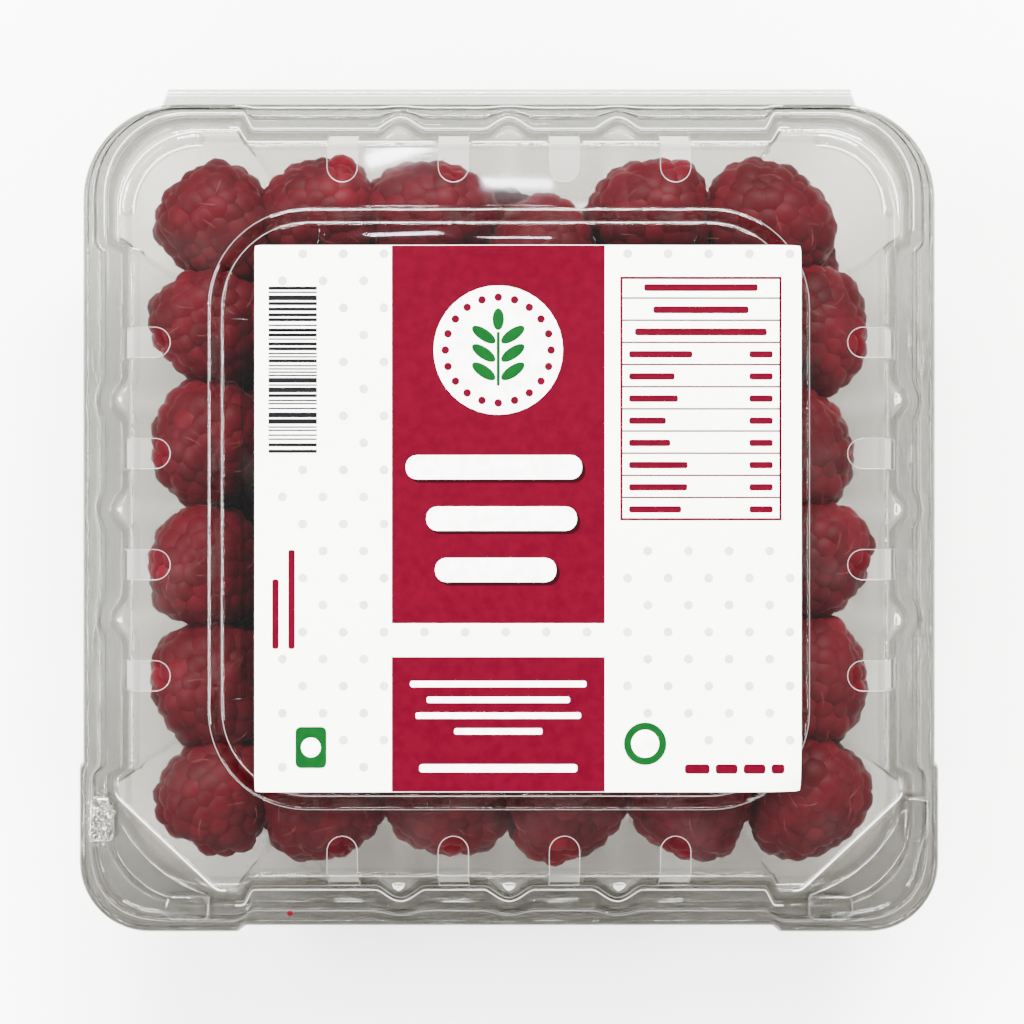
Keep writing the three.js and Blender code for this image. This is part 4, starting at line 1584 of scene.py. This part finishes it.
def inField(x, y):
    column, block, table, bars = fields["column"], fields["block"], fields["table"], fields["bars"]
    margin = 0.9
    if column["left"] - margin < x < column["right"] + margin and y > column["low"] - margin:
        return True
    if block["left"] - margin < x < block["right"] + margin and y < block["top"] + margin:
        return True
    if x > table["left"] - 0.6 and table["bottom"] - 0.6 < y < table["bottom"] + table["height"] + 0.6:
        return True
    beside = x < bars["left"] + bars["width"] + 1.2
    if beside and bars["bottom"] - 1 < y < bars["bottom"] + bars["height"] + 1:
        return True
    marks = ((4.6, 2.3, 10.8, 9.9), (49.3, 2.7, 57.1, 10.5), (1.5, 18.5, 6.5, 34), (57.6, 1.5, 73.2, 4.8))
    return any(left < x < right and low < y < high for left, low, right, high in marks)


def dotShapes():
    dots = fields["dots"]
    size = 2 * paper["half"] / mm
    shapes = []
    for row in range(int(2 * size / dots["up"]) + 1):
        for column in range(int(size / dots["across"]) + 1):
            x = dots["x"] + (column + 0.5 * (row % 2)) * dots["across"]
            y = dots["y"] + row * dots["up"] / 2
            if x < size - 0.8 and y < size - 0.8 and not inField(x, y):
                shapes.append(disc(x, y, dots["radius"], 10))
    return shapes


# Ink of one colour: outlines filled, cut so that they follow the paper, and given a little thickness
def makeInk(name, shapes, colour, layer):
    points, faces = [], []
    for shape in shapes:
        start = len(points)
        points.extend((x * mm, y * mm, 0) for x, y in shape)
        faces.append(tuple(range(start, start + len(shape))))
    piece = meshPiece(name, points, faces)
    if max(max(x for x, _ in shape) - min(x for x, _ in shape) for shape in shapes) > 6:
        edit(piece)
        size = 2 * paper["half"]
        for step in np.arange(2.5 * mm, size, 2.5 * mm):
            for plane in ((1, 0, 0), (0, 1, 0)):
                bpy.ops.mesh.select_all(action="SELECT")
                bpy.ops.mesh.bisect(plane_co=(step, step, 0), plane_no=plane)
        done()
    lift = paper["inkLift"] + layer * (paper["inkThickness"] + 0.006 * mm)
    for vert in piece.data.vertices:
        x = vert.co.x + paper["x"] - paper["half"]
        y = vert.co.y + paper["y"] - paper["half"]
        vert.co = (x, y, paperHeight(x, y) + lift)
    applyModifier(piece, "SOLIDIFY", thickness=paper["inkThickness"], offset=1)
    return asLabelPiece(piece, inkMaterial(name + "Ink", colour))


inks = [
    ("labelDots", dotShapes, (0.38, 0.38, 0.37), 0),
    ("labelCrimson", crimsonShapes, (0.036, 0.0, 0.0036), 0),
    ("labelBars", barShapes, (0.003, 0.003, 0.0035), 0),
    ("labelShade", shadeShapes, (0.008, 0.0004, 0.001), 1),
    ("labelWhite", whiteShapes, (0.86, 0.86, 0.84), 2),
    ("labelEmblem", emblemShapes, (0.038, 0.0, 0.0038), 3),
    ("labelGreen", greenShapes, (0.0008, 0.026, 0.004), 3),
    ("labelPale", paleShapes, (0.86, 0.88, 0.84), 4),
]

makePaper()
for inkName, shapesOf, inkColour, inkLayer in inks:
    makeInk(inkName, shapesOf(), inkColour, inkLayer)
print("label made")
